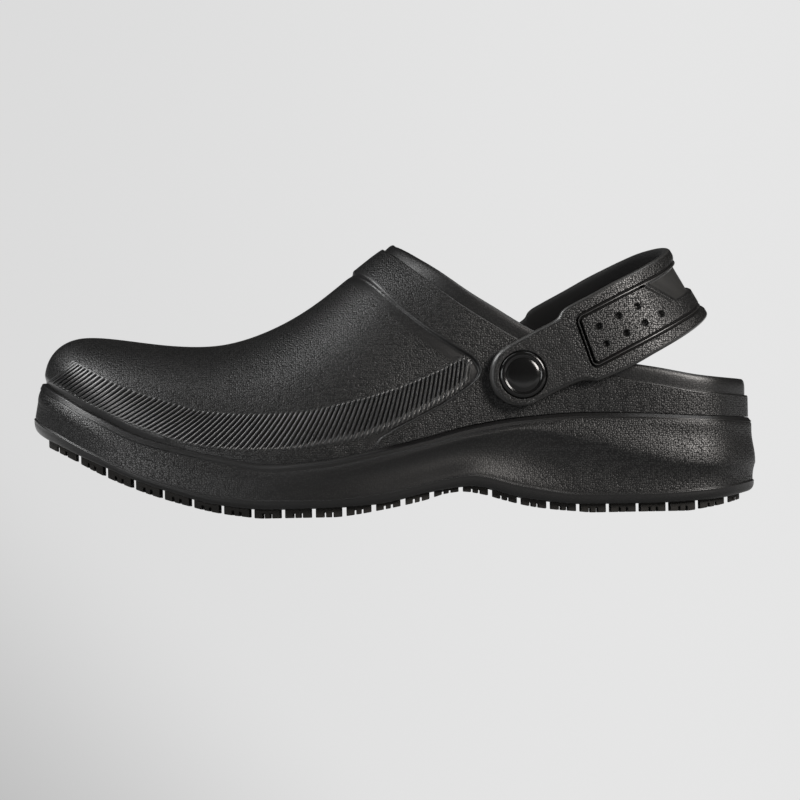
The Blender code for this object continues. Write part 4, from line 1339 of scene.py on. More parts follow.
@dataclass
class SoleCup:
    """The foam cup sole: bead, sculpted side, lower lip, arch, toe spring and heel."""

    last: Last
    stations: int = 420
    rim_gap: float = 0.05
    rim_lap: float = 0.2
    rim_round: float = 0.02
    inside: float = -1.4
    ledge_rows: int = 11
    ledge_step: float = 0.5
    ledge_turn: float = 0.3
    ledge_fall: float = 0.1
    band_swell: float = 0.08
    band_rows: Tuple[float, ...] = (0.3, 0.65, 1.0)
    groove_rows: Tuple[Triple, ...] = (
        (0.1, 0.5, 0.0), (0.22, 1.0, 0.0), (0.38, 0.9, 0.0), (0.55, 0.3, 0.3), (0.8, 0.0, 0.8),
    )
    belly_rows: int = 9
    heel_notch: Span = (225.0, 270.0)
    hollow_rows: int = 12
    heel_tuck: Span = (205.0, 240.0)
    lip_inset: float = 0.5
    lip_rise: float = 1.0
    lip_rows: Tuple[Triple, ...] = (
        (-0.52, 0.75, 0.4), (-0.44, 0.52, 0.1), (-0.18, 0.34, 0.0),
        (0.03, 0.16, 0.0), (0.06, -0.06, 0.0), (-0.02, -0.3, 0.05),
    )
    curl_rows: int = 7
    recess_border: float = 1.3
    recess_depth: float = 2.2
    fill_rows: int = 9
    fill_grain: float = 0.2
    bottom_stations: int = 181

    def shoulder(self, at: Array) -> Dict[str, Array]:
        """The named sizes of the sole's shoulder at distances from the toe."""
        return {name: drawn(SHOULDERS, name)(at) for name in Shoulder._fields[1:]}

    def profile(self, turns: Array) -> List[Tuple[Array, Array, float]]:
        """The rows of the sole's side, from its bed over the rim and down to the tread's recess.

        Args:
            turns: angles round the outline.

        Returns:
            Outset, height and strength of the grain of each row.
        """
        last = self.last
        at = last.at_of(turns)
        value = {name: last.wall_value(name, turns) for name in Wall._fields[1:]}
        edge = self.shoulder(at)
        rim = value["rim"] - self.rim_gap
        proud, crest, flare = value["proud"], value["belly"], value["flare"]
        sculpt, lip, foam = value["sculpt"], value["lip"], value["foam"]
        inside = np.full(len(turns), self.inside)
        rows = [(inside, value["bed"], 0.3), (inside, rim, 0.2), (0.0 * proud - self.rim_lap, rim, 0.0)]

        # The ledge under the upper, sloped or hollow, and the smooth band and groove below it.
        for share in np.linspace(0.0, 1.0, self.ledge_rows):
            near = min(share / self.ledge_turn, 1.0)
            rest = max(share - self.ledge_turn, 0.0) / (1.0 - self.ledge_turn)
            ledge = self.ledge_step * near**0.8 + (1.0 - self.ledge_step) * rest
            fall = self.ledge_fall * near**2 + (1.0 - self.ledge_fall) * rest
            out = 0.02 + 0.98 * between(ledge, share**2, edge["hollow"])
            down = edge["slope"] * between(fall, share, edge["hollow"])
            rows.append((proud * out, rim - self.rim_round - down, 0.15))
        foot = rim - self.rim_round - edge["slope"]
        for share in self.band_rows:
            rows.append((proud + self.band_swell * share, foot - edge["band"] * share, 0.0))
        under = foot - edge["band"]
        for drop, cut, grain in self.groove_rows:
            rows.append((proud + self.band_swell - edge["groove"] * cut, under - drop, grain))

        # The sculpted side: out to its belly, then in and down to the lip.
        start = under - self.groove_rows[-1][0]
        notch = ease(*self.heel_notch, at)
        for share in np.linspace(0.12, 1.0, self.belly_rows):
            wave = (1.0 - notch) * (1.0 - (1.0 - share) ** 2) + notch * float(ease(0.2, 0.9, share))
            swell = proud + self.band_swell + (crest - proud - self.band_swell) * wave
            rows.append((swell, between(start, sculpt, share), 1.0))
        tuck = ease(*self.heel_tuck, at)
        for share in np.linspace(0.08, 1.0, self.hollow_rows):
            straight = between(crest, flare - self.lip_inset, share + tuck * share * (1.0 - share))
            scoop = value["hollow"] * np.sin(math.pi * share**0.8) ** 1.2
            rows.append((straight - scoop, between(sculpt, lip + self.lip_rise, share), 0.9))

        # The lower lip, the curl under it and the recess for the tread.
        rows += [(flare + out, lip + up, grain) for out, up, grain in self.lip_rows]
        out, up, _ = self.lip_rows[-1]
        for share in np.linspace(0.15, 1.0, self.curl_rows):
            curl = (1.0 - math.sqrt(1.0 - share**2.2)) if share < 1.0 else 1.0
            turned = flare + out + (value["edge"] - flare) * curl
            rows.append((turned, between(lip + up, foam, share**0.85), 0.15))
        border = value["edge"] - self.recess_border
        return rows + [(border, foam, 0.2), (border, foam + self.recess_depth, 0.2)]

    def build(self, surface: Material) -> Object:
        """Models the sole.

        Args:
            surface: its material.

        Returns:
            The finished piece.
        """
        last = self.last
        turns = np.linspace(0.0, FULL_TURN, self.stations + 1)
        rows = self.profile(turns)
        points = np.array([last.ring(turns, outset, height) for outset, height, _ in rows])
        strong = self.shoulder(last.at_of(turns))["grain"]
        grain = np.array([level * strong for _, _, level in rows])
        sheets = [Workbench.sheet("side", points, grain)]
        half = self.stations // 2
        share = np.linspace(0.0, 1.0, self.fill_rows)[:, None, None]
        for name, ring in (("bed", points[0]), ("recess", points[-1])):
            filled = between(ring[: half + 1], ring[half:][::-1], share)
            sheets.append(Workbench.sheet(name, filled, self.fill_grain))
        made = Workbench.join("sole_cup", sheets)
        Workbench.weld(made)
        Workbench.finish(made, surface, "sole_foam", 60.0, ["midsole"])
        return made

    def bottom(self, at: Array, outset: float) -> Tuple[Array, Array, Array]:
        """The sole's bottom at distances from the toe.

        Args:
            at: distances from the toe.
            outset: how far to stand outside the foam's bottom edge.

        Returns:
            Lateral edge, medial edge and foam height.
        """
        last = self.last
        turns = np.linspace(0.0, math.pi, self.bottom_stations)
        found = []
        for way in (turns, FULL_TURN - turns):
            ring = last.outline(way) + last.outward(way) * (last.wall_value("edge", way) + outset)[:, None]
            found.append(np.interp(at, ring[:, 0], ring[:, 1]))
            height = np.interp(at, ring[:, 0], last.wall_value("foam", way))
        return found[0], found[1], height


@dataclass
class Tread:
    """The rubber sheet under the sole and its rows of notched blocks."""

    sole: SoleCup
    first: float = 6.0
    final: float = 288.4
    gap_at: float = 126.5
    pitch_front: float = 12.5
    pitch_back: float = 12.2
    shortest: float = 3.0
    gap: float = 2.0
    inset: float = 1.6
    columns: int = 5
    column_gap: float = 0.035
    sheet_thick: float = 1.5
    sheet_rows: int = 9
    sheet_stations: int = 160
    sink_in: float = 0.4
    block: Triple = (10.4, 17.0, 3.2)
    notch_from: Span = (0.31, 0.6)
    notch_wide: float = 0.085
    notch_start: float = 0.5
    edge_round: float = 0.22

    def model_block(self) -> Tuple[Array, List[List[int]]]:
        """Models one tread block: a strip with two notches, pushed out to its width and rounded.

        Returns:
            Its points as shares of length, width and height, and its faces.
        """
        long, wide, tall = self.block
        notches = [(start, start + self.notch_wide) for start in self.notch_from]
        lengths = np.array([0.0, *notches[0], *notches[1], 1.0]) * long
        heights = np.array([0.0, self.notch_start, 1.0]) * tall
        made, row, place = Workbench.grid(len(heights), len(lengths))
        flat = np.stack([lengths[place], heights[row], np.zeros(len(row))], axis=-1)
        made.data.vertices.foreach_set("co", flat.astype(np.float32).ravel())
        bpy.ops.object.mode_set(mode="EDIT")
        bpy.ops.mesh.select_mode(type="FACE")
        bpy.ops.mesh.select_all(action="DESELECT")
        bpy.ops.object.mode_set(mode="OBJECT")
        for face in made.data.polygons:
            share = face.center.x / long
            low = face.center.y > self.notch_start * tall
            face.select = low and any(start < share < stop for start, stop in notches)
        bpy.ops.object.mode_set(mode="EDIT")
        bpy.ops.mesh.delete(type="FACE")
        bpy.ops.mesh.select_all(action="SELECT")
        bpy.ops.mesh.extrude_region_move(TRANSFORM_OT_translate={"value": (0.0, 0.0, wide)})
        bpy.ops.mesh.select_all(action="SELECT")
        bpy.ops.mesh.normals_make_consistent(inside=False)
        bpy.ops.mesh.select_all(action="DESELECT")
        bpy.ops.mesh.select_mode(type="EDGE")
        bpy.ops.mesh.edges_select_sharp(sharpness=math.radians(60.0))
        bpy.ops.mesh.bevel(offset=self.edge_round, segments=1, affect="EDGES")
        bpy.ops.mesh.select_mode(type="VERT")
        bpy.ops.object.mode_set(mode="OBJECT")
        points = np.array([vertex.co for vertex in made.data.vertices])
        points = np.stack([points[:, 0] / long, points[:, 2] / wide, points[:, 1] / tall], axis=-1)
        faces = [list(face.vertices) for face in made.data.polygons]
        bpy.data.objects.remove(made, do_unlink=True)
        return points, faces

    def gaps(self) -> Array:
        """Finds the gaps between the rows of blocks, evenly spaced along the bent sole.

        Returns:
            The gaps' middles, as distances from the toe.
        """
        at = np.linspace(self.first, self.final, 2001)
        drop = np.diff(self.sole.last.tread_height(at))
        run = np.concatenate([[0.0], np.cumsum(np.hypot(np.diff(at), drop))])
        middle = float(np.interp(self.gap_at, at, run))
        front = np.arange(middle, self.shortest, -self.pitch_front)[::-1]
        back = np.arange(middle + self.pitch_back, run[-1] - self.shortest, self.pitch_back)
        return np.interp(np.concatenate([front, back]), run, at)

    def build_sheet(self, surface: Material) -> Object:
        """Models the sheet.

        Args:
            surface: its material.

        Returns:
            The finished piece.
        """
        at = np.linspace(self.first, self.final, self.sheet_stations)
        lateral, medial, foam = self.sole.bottom(at, -self.inset)
        side = between(lateral, medial, np.linspace(0.0, 1.0, self.sheet_rows)[:, None])
        below = np.stack([np.broadcast_to(at, side.shape), side, np.broadcast_to(foam, side.shape)], axis=-1)
        above = below + np.array([0.0, 0.0, self.sheet_thick])
        made = Workbench.sheet("tread_sheet", np.concatenate([below, above[::-1], below[:1]]))
        Workbench.weld(made)
        Workbench.close(made)
        Workbench.finish(made, surface, "tread_rubber", 40.0, ["outsole"])
        return made

    def build_blocks(self, surface: Material) -> Object:
        """Models the blocks, as many copies of one that follow the sole.

        Args:
            surface: their material.

        Returns:
            The finished piece.
        """
        unit_points, unit_faces = self.model_block()
        gaps = self.gaps()
        starts = np.concatenate([[self.first], gaps + self.gap / 2.0])
        stops = np.concatenate([gaps - self.gap / 2.0, [self.final]])
        points, faces = [], []
        for start, stop in zip(starts, stops):
            for k in range(self.columns):
                low = k / self.columns + (self.column_gap / 2.0 if k else 0.0)
                high = (k + 1) / self.columns - (self.column_gap / 2.0 if k < self.columns - 1 else 0.0)
                along = between(start, stop, unit_points[:, 0])
                lateral, medial, foam = self.sole.bottom(along, -self.inset)
                side = between(lateral, medial, between(low, high, unit_points[:, 1]))
                height = between(foam + self.sink_in, self.sole.last.tread_height(along), unit_points[:, 2])
                shift = len(points) * len(unit_points)
                faces += [[shift + corner for corner in face] for face in unit_faces]
                points.append(np.stack([along, side, height], axis=-1))
        everything = np.concatenate(points)
        mesh = bpy.data.meshes.new("tread_blocks")
        mesh.from_pydata(np.zeros_like(everything).tolist(), [], faces)
        made = bpy.data.objects.new("tread_blocks", mesh)
        bpy.context.scene.collection.objects.link(made)
        Workbench.shape(made, everything)
        Workbench.weld(made, 0.0001)
        Workbench.finish(made, surface, "tread_rubber", 30.0)
        return made


@dataclass
class Footbed:
    """The removable footbed: flat below, dished above, with a raised edge and inner arch."""

    last: Last
    inset: float = 4.2
    lift: float = 0.3
    thick: float = 4.6
    edge_rise: float = 2.6
    toe_edge: float = 0.35
    heel_from: float = 190.0
    heel_run: float = 60.0
    arch_rise: float = 3.0
    arch_at: float = 172.0
    arch_run: float = 34.0
    stations: int = 120
    tip_stations: float = 10.0
    across: int = 30

    def build(self, surface: Material) -> Object:
        """Models the footbed.

        Args:
            surface: its material.

        Returns:
            The finished piece.
        """
        last = self.last
        half = np.linspace(0.0, math.pi, self.stations + 1)
        low = last.wall_value("bed", half) + self.lift
        lateral = last.ring(half, -self.inset, low)
        medial = last.ring(FULL_TURN - half, -self.inset, low)
        share = np.linspace(0.0, 1.0, self.across + 1)[:, None]
        floor = between(lateral, medial, share[..., None])
        heel = np.clip((lateral[:, 0] - self.heel_from) / self.heel_run, 0.0, 1.0)
        arch = np.exp(-(((lateral[:, 0] - self.arch_at) / self.arch_run) ** 2))
        edge = np.abs(2.0 * share - 1.0) ** 3
        raised = self.toe_edge + (1.0 - self.toe_edge) * heel
        rise = self.thick + self.edge_rise * edge * raised + self.arch_rise * arch * share**3
        count = np.arange(self.stations + 1)
        tip = ease(0.0, 1.0, np.minimum(count, count[::-1]) / self.tip_stations)
        top = floor.copy()
        top[..., 2] += between(self.thick + self.edge_rise * raised, rise, tip)
        made = Workbench.sheet("footbed", np.concatenate([floor[:1], top, floor[::-1]]))
        Workbench.weld(made)
        Workbench.finish(made, surface, "footbed", 55.0, ["insole"])
        return made


class Band(NamedTuple):
    """Edges of the strap at a reach from the pivot, square to the way it points."""

    along: float
    lower: float
    upper: float


BANDS = table(
    Band,
    (0.0, -12.4, 13.6), (13.0, -12.4, 14.0), (20.0, -13.0, 14.1), (23.2, -14.2, 14.6), (26.0, -15.9, 16.3),
    (28.6, -16.2, 16.8), (41.0, -16.8, 17.1), (52.0, -16.2, 17.5), (66.0, -15.5, 17.4), (74.8, -15.0, 16.6),
)


class Dimple(NamedTuple):
    """A dimple of the strap's panel: reach from the pivot and place across."""

    along: float
    across: float


DIMPLES = table(
    Dimple,
    (36.1, 3.8), (45.0, 4.0), (53.5, 4.1), (35.8, -3.9), (44.7, -3.7), (53.1, -3.3), (60.5, -3.1),
)


class PanelRow(NamedTuple):
    """Edges of the strap's panel at a reach: its upper and lower edge and the foot of the smooth recess."""

    along: float
    top: float
    low: float
    recess: float


STRAP_PANEL = table(
    PanelRow,
    (28.6, 10.8, -10.2, 30.0), (50.0, 11.1, -9.7, 30.0), (58.9, 11.1, -9.4, 10.2), (66.5, 10.9, -9.3, -1.3),
    (74.8, 10.7, -9.8, -2.6),
)


@dataclass
class HeelStrap:
    """The moulded heel strap: a flat arm, then a wide band with a grooved panel and a smooth recess."""

    tilt: float = 25.5
    reach: float = 74.8
    pivot_at: float = 200.1
    pivot_up: float = 56.5
    far_forward: float = 11.5
    far_rise: float = 6.8
    far_drop: float = 0.02
    far_straight: float = 40.0
    twist_width: float = 64.0
    near_side: float = 42.1
    far_side: float = 38.5
    near_taper: float = 0.13
    far_taper: float = 0.025
    taper_run: float = 25.0
    end_radius: float = 13.4
    end_angles: Tuple[float, float, int] = (4.0, 87.0, 24)
    thick: float = 4.0
    thinnest: float = 0.7
    seat_floor: float = 1.9
    seat_radius: float = 10.1
    seat_deep: float = 12.0
    stem_radius: float = 4.3
    stem_long: float = 16.0
    wide_from: float = 28.0
    zone_ends: Tuple[float, ...] = (22.0, 26.0, 31.8, 71.0)
    zone_steps: Tuple[float, ...] = (0.6, 0.4, 0.16, 0.36, 0.45)
    corner: float = 2.4
    edge_rows: Tuple[float, ...] = (0.0, 0.08, 0.25, 0.5, 0.85, 1.3)
    rim_rows: int = 9
    rise_rows: int = 23
    rise_half: float = 1.6
    rim_least: float = 3.5
    panel_rows: int = 58
    panel_lean: float = 0.12
    back_lean: float = 0.07
    lean_from: float = 40.0
    lean_low: float = 14.0
    rim_bead: float = 0.8
    low_bead: float = 0.9
    recess_depth: float = 1.7
    recess_run: float = 8.0
    inner_groove: Triple = (0.75, 1.1, 2.6)
    outer_groove: Triple = (-0.7, 0.95, 2.2)
    groove_square: float = 0.35
    crease_at: float = 0.1
    crease_half: float = 0.35
    crease_depth: float = 0.7
    dimple_radius: float = 1.4
    dimple_depth: float = 1.9
    dimple_square: float = 0.6
    dull_depth: float = 1.4
    dullest: float = 0.95
    arm_end: float = 24.0
    arm_grain: float = 0.7
    arm_round: float = 2.0
    band_starts: Span = (20.0, 30.0)
    band_sharper: float = 0.7
    recess_plain: float = 0.97
    inside_rows: Tuple[float, ...] = (0.0, 0.02, 0.06, 0.15, 0.3, 0.5, 0.7, 0.85, 0.93, 0.96, 0.98, 1.0)
    inside_round: Span = (0.35, 0.8)
    inside_bevel: Span = (0.9, 1.8)

    def __post_init__(self) -> None:
        """Draws the curves through the strap's tables."""
        self.lower = drawn(BANDS, "lower")
        self.upper = drawn(BANDS, "upper")
        angle = math.radians(self.tilt)
        self.forward = np.array([math.cos(angle), 0.0, math.sin(angle)])
        self.up = np.array([-math.sin(angle), 0.0, math.cos(angle)])
        self.pivot = np.array([self.pivot_at, 0.0, self.pivot_up])
        self.near_reach, self.near_run = self.bend(Side.OUTER)
        self.panel_at = np.interp(column(STRAP_PANEL, "along"), self.near_reach, self.near_run)

    def path(self, along: Array, side: Side) -> Array:
        """Finds how far from the axis the strap's inner face lies.

        Args:
            along: reach along the strap.
            side: the side of the shoe.

        Returns:
            Distances in millimetres, below zero on the outer side.
        """
        wide = self.far_side if side is Side.INNER else self.near_side
        narrower = self.taper(side) * self.taper_run * np.tanh(along / self.taper_run)
        share = np.clip(along / self.reach, 0.0, 1.0)
        return (wide - narrower) * np.sqrt(1.0 - share**3) * side.value

    def taper(self, side: Side) -> float:
        """How fast one arm draws in behind its pivot."""
        return self.far_taper if side is Side.INNER else self.near_taper

    def rise(self, along: Array, side: Side) -> Array:
        """Finds how much higher the strap's middle line lies than at the near pivot.

        Args:
            along: reach along the strap.
            side: the side of the shoe.

        Returns:
            Heights in millimetres, square to the way the strap points.
        """
        share = np.clip(self.path(along, side) / self.twist_width + 0.5, 0.0, 1.0)
        drop = self.far_drop * np.maximum(self.far_straight - along, 0.0) if side is Side.INNER else 0.0
        return self.far_rise * share * share * (3.0 - 2.0 * share) - drop

    def start(self, side: Side) -> float:
        """The reach of one arm's pivot."""
        return -self.far_forward if side is Side.INNER else 0.0

    def pivot_spot(self, side: Side) -> Tuple[Array, Array]:
        """The pivot on the strap's inner face.

        Args:
            side: the side of the shoe.

        Returns:
            Its place and the outward direction of its axis.
        """
        along = np.array(self.start(side))
        spot = self.pivot + self.forward * along + self.up * float(self.rise(along, side))
        spot[1] = float(self.path(along, side))
        return spot, unit(np.array([0.0, float(side.value), 0.0]) + self.taper(side) * self.forward)

    def bend(self, side: Side) -> Tuple[Array, Array]:
        """Close stations of one arm from its pivot to the middle of the heel.

        Args:
            side: the side of the shoe.

        Returns:
            The stations' reach, and their distance from the pivot along the strap.
        """
        straight = np.linspace(self.start(side), 0.0, 200)[:-1]
        turn = np.linspace(1e-4, math.pi / 2.0, 4000)
        reach = np.concatenate([straight, self.reach * np.sin(turn) ** (2.0 / 3.0)])
        plan = np.stack([reach, self.path(reach, side)], axis=-1)
        run = np.concatenate([[0.0], np.cumsum(np.linalg.norm(np.diff(plan, axis=0), axis=1))])
        return reach, run

    def stations(self) -> Array:
        """Distances along the near arm of the strap's stations, close together where its panel is."""
        stops = [0.0, *np.interp(self.zone_ends, self.near_reach, self.near_run), self.near_run[-1]]
        parts = [np.arange(low, high, step) for low, high, step in zip(stops, stops[1:], self.zone_steps)]
        return np.concatenate(parts + [self.near_run[-1:]])

    def groove(self, border: Array, sizes: Triple) -> Array:
        """Cuts one groove along the panel's border.

        Args:
            border: distance from the border, above zero inside it.
            sizes: the groove's middle, width and depth.

        Returns:
            Depths in millimetres.
        """
        middle, wide, deep = sizes
        return deep * bowl(border - middle, wide / 2.0) ** self.groove_square

    def relief(self, run: Array, across: Array, edge: Array) -> Tuple[Array, Array]:
        """Thickness of the strap's wall over its outer face.

        Args:
            run: distance along the near arm, or its like on the far one.
            across: place across, from the strap's middle line.
            edge: distance from the strap's outline.

        Returns:
            Thicknesses in millimetres, and the strength of the grain, below zero where painted shade darkens
            the grooves.
        """
        place = self.panel_at
        top = np.interp(run, place, column(STRAP_PANEL, "top"))
        low = np.interp(run, place, column(STRAP_PANEL, "low"))
        strip = np.interp(run, place[3:], column(STRAP_PANEL, "recess")[3:])

        # Distance inside the panel's border, which has rounded corners in front.
        right = run - place[0] - self.panel_lean * across - self.corner
        high = np.minimum(top - across, across - low) - self.corner
        outside = np.hypot(np.minimum(right, 0.0), np.minimum(high, 0.0))
        border = self.corner - outside + np.maximum(np.minimum(right, high), 0.0)

        # The smooth recess lies behind a slanted line, and above a strip of the panel.
        over, along = STRAP_PANEL[2].top - STRAP_PANEL[3].recess, place[3] - place[2]
        slant = ((run - place[2]) * over + (across - STRAP_PANEL[2].top) * along) / math.hypot(over, along)
        hollow = ease(0.0, self.recess_run, slant + 0.5)
        hollow = hollow * ease(-0.2, 0.8, top - 0.5 - across) * ease(-0.2, 0.8, across - strip)
        crease = bowl(slant - self.crease_at, self.crease_half) * (across > strip) * (across < top - 0.6)
        front = ease(-0.6, 0.0, -slant)
        panel = front + (1.0 - front) * (across < strip)

        cut = self.groove(border, self.inner_groove) * panel + self.groove(border, self.outer_groove)
        cut = cut + self.crease_depth * crease
        bead = ease(0.3, 3.0, across - top) * ease(float(place[1]), float(place[4]), run)
        proud = ease(0.3, 2.4, low - across) * ease(float(place[2]), float(place[4]), run)
        thick = self.thick + self.rim_bead * bead + self.low_bead * proud - cut - self.recess_depth * hollow
        for spot in DIMPLES:
            away = np.hypot(run - np.interp(spot.along, self.near_reach, self.near_run), across - spot.across)
            thick = thick - self.dimple_depth * bowl(away, self.dimple_radius) ** self.dimple_square
        soft = self.arm_round - self.band_sharper * ease(*self.band_starts, run)
        round_off = soft - np.sqrt(np.clip(soft**2 - np.clip(soft - edge, 0.0, soft) ** 2, 0.0, None))

        # The grain leaves out the edges, the recess, the grooves and the ridge between them; the strap's
        # finish paints these plain places paler, as painted light, and the grooves, crease and dimples
        # darker, as painted shade.
        plain = np.maximum(np.clip(cut / 0.3, 0.0, 1.0), np.clip(1.0 - np.abs(border) / 0.6, 0.0, 1.0))
        grain = ease(0.4, 1.4, edge) * (1.0 - self.recess_plain * ease(0.0, 0.4, hollow))
        grain = grain * np.where(run < self.arm_end, self.arm_grain, 1.0) * (1.0 - plain)
        # Deep cuts get a painted shade: the deeper, the darker and duller.
        painted_shade = np.clip(cut / self.dull_depth, 0.0, self.dullest)
        return np.maximum(thick - round_off, self.thinnest), grain - painted_shade

    def rows(self, run: Array, lower: Array, upper: Array) -> Array:
        """Places across the strap of the rows of its outer face, which follow its edges and its panel's.

        Args:
            run: distance along the near arm, or its like on the far one.
            lower: the strap's lower edge.
            upper: its upper edge.

        Returns:
            Places as stations and rows, from the upper edge to the lower one.
        """
        run, lower, upper = run[:, None], lower[:, None], upper[:, None]
        small = np.minimum(1.0, (upper - lower) / (2.0 * self.end_radius))
        top = np.interp(run, self.panel_at, column(STRAP_PANEL, "top"))
        top = np.minimum(top, upper - self.rim_least * small)
        low = np.interp(run, self.panel_at, column(STRAP_PANEL, "low"))
        low = np.maximum(low, lower + self.rim_least * small)
        edge = np.array(self.edge_rows)
        fine = np.linspace(self.rise_half, -self.rise_half, self.rise_rows)
        rim = np.linspace(0.0, 1.0, self.rim_rows)[1:-1]
        panel = np.linspace(0.0, 1.0, self.panel_rows)[1:-1]
        parts = [
            upper - small * edge,
            between(upper - edge[-1] * small, top + self.rise_half * small, rim),
            top + small * fine,
            between(top - self.rise_half * small, low + self.rise_half * small, panel),
            low - small * fine[::-1],
            between(low - self.rise_half * small, lower + edge[-1] * small, rim),
            lower + small * edge[::-1],
        ]
        return np.concatenate(parts, axis=1)

    def arm(self, side: Side) -> Tuple[Array, Array]:
        """The closed wall of one arm, as rings from its round end to the middle of the heel.

        Args:
            side: the side of the shoe.

        Returns:
            Points as rings and places on the ring, and the strength of the grain there, below zero where
            painted shade darkens the surface.
        """
        reach, own = self.bend(side)
        near, wide = self.near_run, self.wide_from
        cap = -self.end_radius * np.cos(np.radians(np.linspace(*self.end_angles)))
        like = np.concatenate([cap, self.stations()])
        run = np.where(like > wide, wide + (like - wide) * (own[-1] - wide) / (near[-1] - wide), like)
        along = np.where(run < 0.0, run + reach[0], np.interp(run, own, reach))
        as_near = np.interp(like, near, self.near_reach)
        round_end = np.sqrt(np.clip(self.end_radius**2 - run**2, 0.0, None)) / self.end_radius
        lower = self.lower(as_near) * np.where(run < 0.0, round_end, 1.0)
        upper = self.upper(as_near) * np.where(run < 0.0, round_end, 1.0)

        ahead = np.gradient(along, run)
        aside = np.gradient(self.path(along, side), run)
        ahead[-1], aside[-1] = 0.0, -float(side.value)
        out = unit(np.stack([-aside * side.value, ahead * side.value], axis=-1))

        across = self.rows(like, lower, upper)
        flat_edge = np.minimum(across - lower[:, None], upper[:, None] - across)
        round_edge = self.end_radius - np.hypot(run[:, None], across)
        edge = np.maximum(np.where(run[:, None] < 0.0, round_edge, flat_edge), 0.0)
        outer, grain = self.relief(np.broadcast_to(like[:, None], across.shape), across, edge)

        inner_across = between(lower[:, None], upper[:, None], np.array(self.inside_rows))
        from_top = upper[:, None] - inner_across
        inner_edge = np.minimum(inner_across - lower[:, None], from_top)
        (low, low_run), (high, high_run) = self.inside_round, self.inside_bevel
        inner_thick = low * (1.0 - ease(0.0, low_run, inner_edge))
        inner_thick = inner_thick + high * (1.0 - ease(0.0, high_run, from_top))
        thick = np.concatenate([outer, inner_thick, outer[:, :1]], axis=1)
        across = np.concatenate([across, inner_across, across[:, :1]], axis=1)
        # The inner face is painted dark all over, as painted shade.
        grain = np.concatenate([grain, np.full(inner_across.shape, -self.dullest), grain[:, :1]], axis=1)

        lean = self.back_lean * ease(self.lean_from, self.reach, along)
        spot = along[:, None] + out[:, :1] * thick - lean[:, None] * (across + self.lean_low)
        middle = self.rise(along, side)[:, None]
        points = self.pivot + self.forward * spot[..., None] + self.up * (across + middle)[..., None]
        points[..., 1] = self.path(along, side)[:, None] + out[:, 1:] * thick
        return points, grain

    def build(self, surface: Material) -> Object:
        """Models the strap.

        Args:
            surface: its material.

        Returns:
            The finished piece.
        """
        (near, near_grain), (far, far_grain) = (self.arm(side) for side in Side)
        points = np.concatenate([near[:-1], far[::-1]])
        grain = np.concatenate([near_grain[:-1], far_grain[::-1]])
        made = Workbench.sheet("heel_strap_band", points, grain)
        Workbench.weld(made)
        Workbench.close(made)
        for side in Side:
            spot, axis = self.pivot_spot(side)
            seat = spot + axis * (self.seat_floor + self.seat_deep / 2.0)
            Workbench.drill(made, seat, axis, self.seat_radius, self.seat_deep)
            Workbench.drill(made, spot, axis, self.stem_radius, self.stem_long)
        Workbench.finish(made, surface, "strap_foam", 55.0, ["heel_strap"])
        return made


class Turning(NamedTuple):
    """One ring of a turned piece: its radius and its place along the axis."""

    radius: float
    out: float


RIVET_HEAD = table(
    Turning,
    (0.4, 2.5), (3.0, 2.42), (5.2, 2.22), (6.5, 1.98), (6.9, 1.72), (7.2, 1.72), (7.5, 2.0),
    (8.0, 2.16), (8.6, 2.1), (9.2, 1.8), (9.6, 1.35), (9.8, 0.8), (9.8, 0.0),
)


@dataclass
class Rivet:
    """A swivel rivet: a gloss domed head with a plain raised ring, a stem and an inner foot."""

    strap: HeelStrap
    floor: float = 2.2
    stem: float = 4.0
    foot_radius: float = 7.0
    foot_round: float = 1.2
    foot_thick: float = 1.4
    wall: float = 4.8
    foot_off_near: float = 1.8
    foot_off_far: float = 2.8
    sides: int = 72

    def profile(self, side: Side) -> List[Turning]:
        """Lists the rivet's rings, from the middle of its head to the middle of its foot.

        Args:
            side: the side of the shoe.

        Returns:
            The rings, with their places measured from the strap's inner face.
        """
        foot = -(self.wall + (self.foot_off_far if side is Side.INNER else self.foot_off_near))
        rings = [Turning(radius, self.floor + out) for radius, out in RIVET_HEAD]
        return rings + [
            Turning(self.stem, self.floor),
            Turning(self.stem, foot),
            Turning(self.foot_radius, foot),
            Turning(self.foot_radius, foot - 0.5 * self.foot_thick),
            Turning(self.foot_radius - self.foot_round, foot - self.foot_thick),
            Turning(RIVET_HEAD[0].radius, foot - self.foot_thick),
        ]

    def build(self, side: Side, surface: Material) -> Object:
        """Models one rivet: a disc pushed out and scaled ring by ring, as on a lathe.

        Args:
            side: the side of the shoe.
            surface: its material.

        Returns:
            The finished piece.
        """
        rings = self.profile(side)
        Workbench.clear()
        bpy.ops.mesh.primitive_circle_add(vertices=self.sides, radius=rings[0].radius * MM, fill_type="NGON")
        made = bpy.context.active_object
        Workbench.call(made, f"rivet_{side.word}_turned")
        Workbench.enter(made)
        bpy.ops.transform.translate(value=(0.0, 0.0, rings[0].out * MM))
        for before, ring in zip(rings, rings[1:]):
            drop = (0.0, 0.0, (ring.out - before.out) * MM)
            bpy.ops.mesh.extrude_region_move(TRANSFORM_OT_translate={"value": drop})
            grow = ring.radius / before.radius
            bpy.ops.transform.resize(value=(grow, grow, 1.0), center_override=(0.0, 0.0, ring.out * MM))
        Workbench.leave()
        spot, axis = self.strap.pivot_spot(side)
        turn = Vector(axis).to_track_quat("Z", "Y").to_matrix().to_4x4()
        made.data.transform(Matrix.Translation(Vector(placed(spot))) @ turn)
        Workbench.finish(made, surface, "rivet", 50.0, [f"rivet_{side.word}"])
        return made


class Softbox(NamedTuple):
    """A soft square light: its name, where it hangs in metres, its power and its tint."""

    name: str
    place: Triple
    watts: float
    tint: Triple


WHITE, WARM = (1.0, 1.0, 1.0), (1.0, 0.955, 0.915)

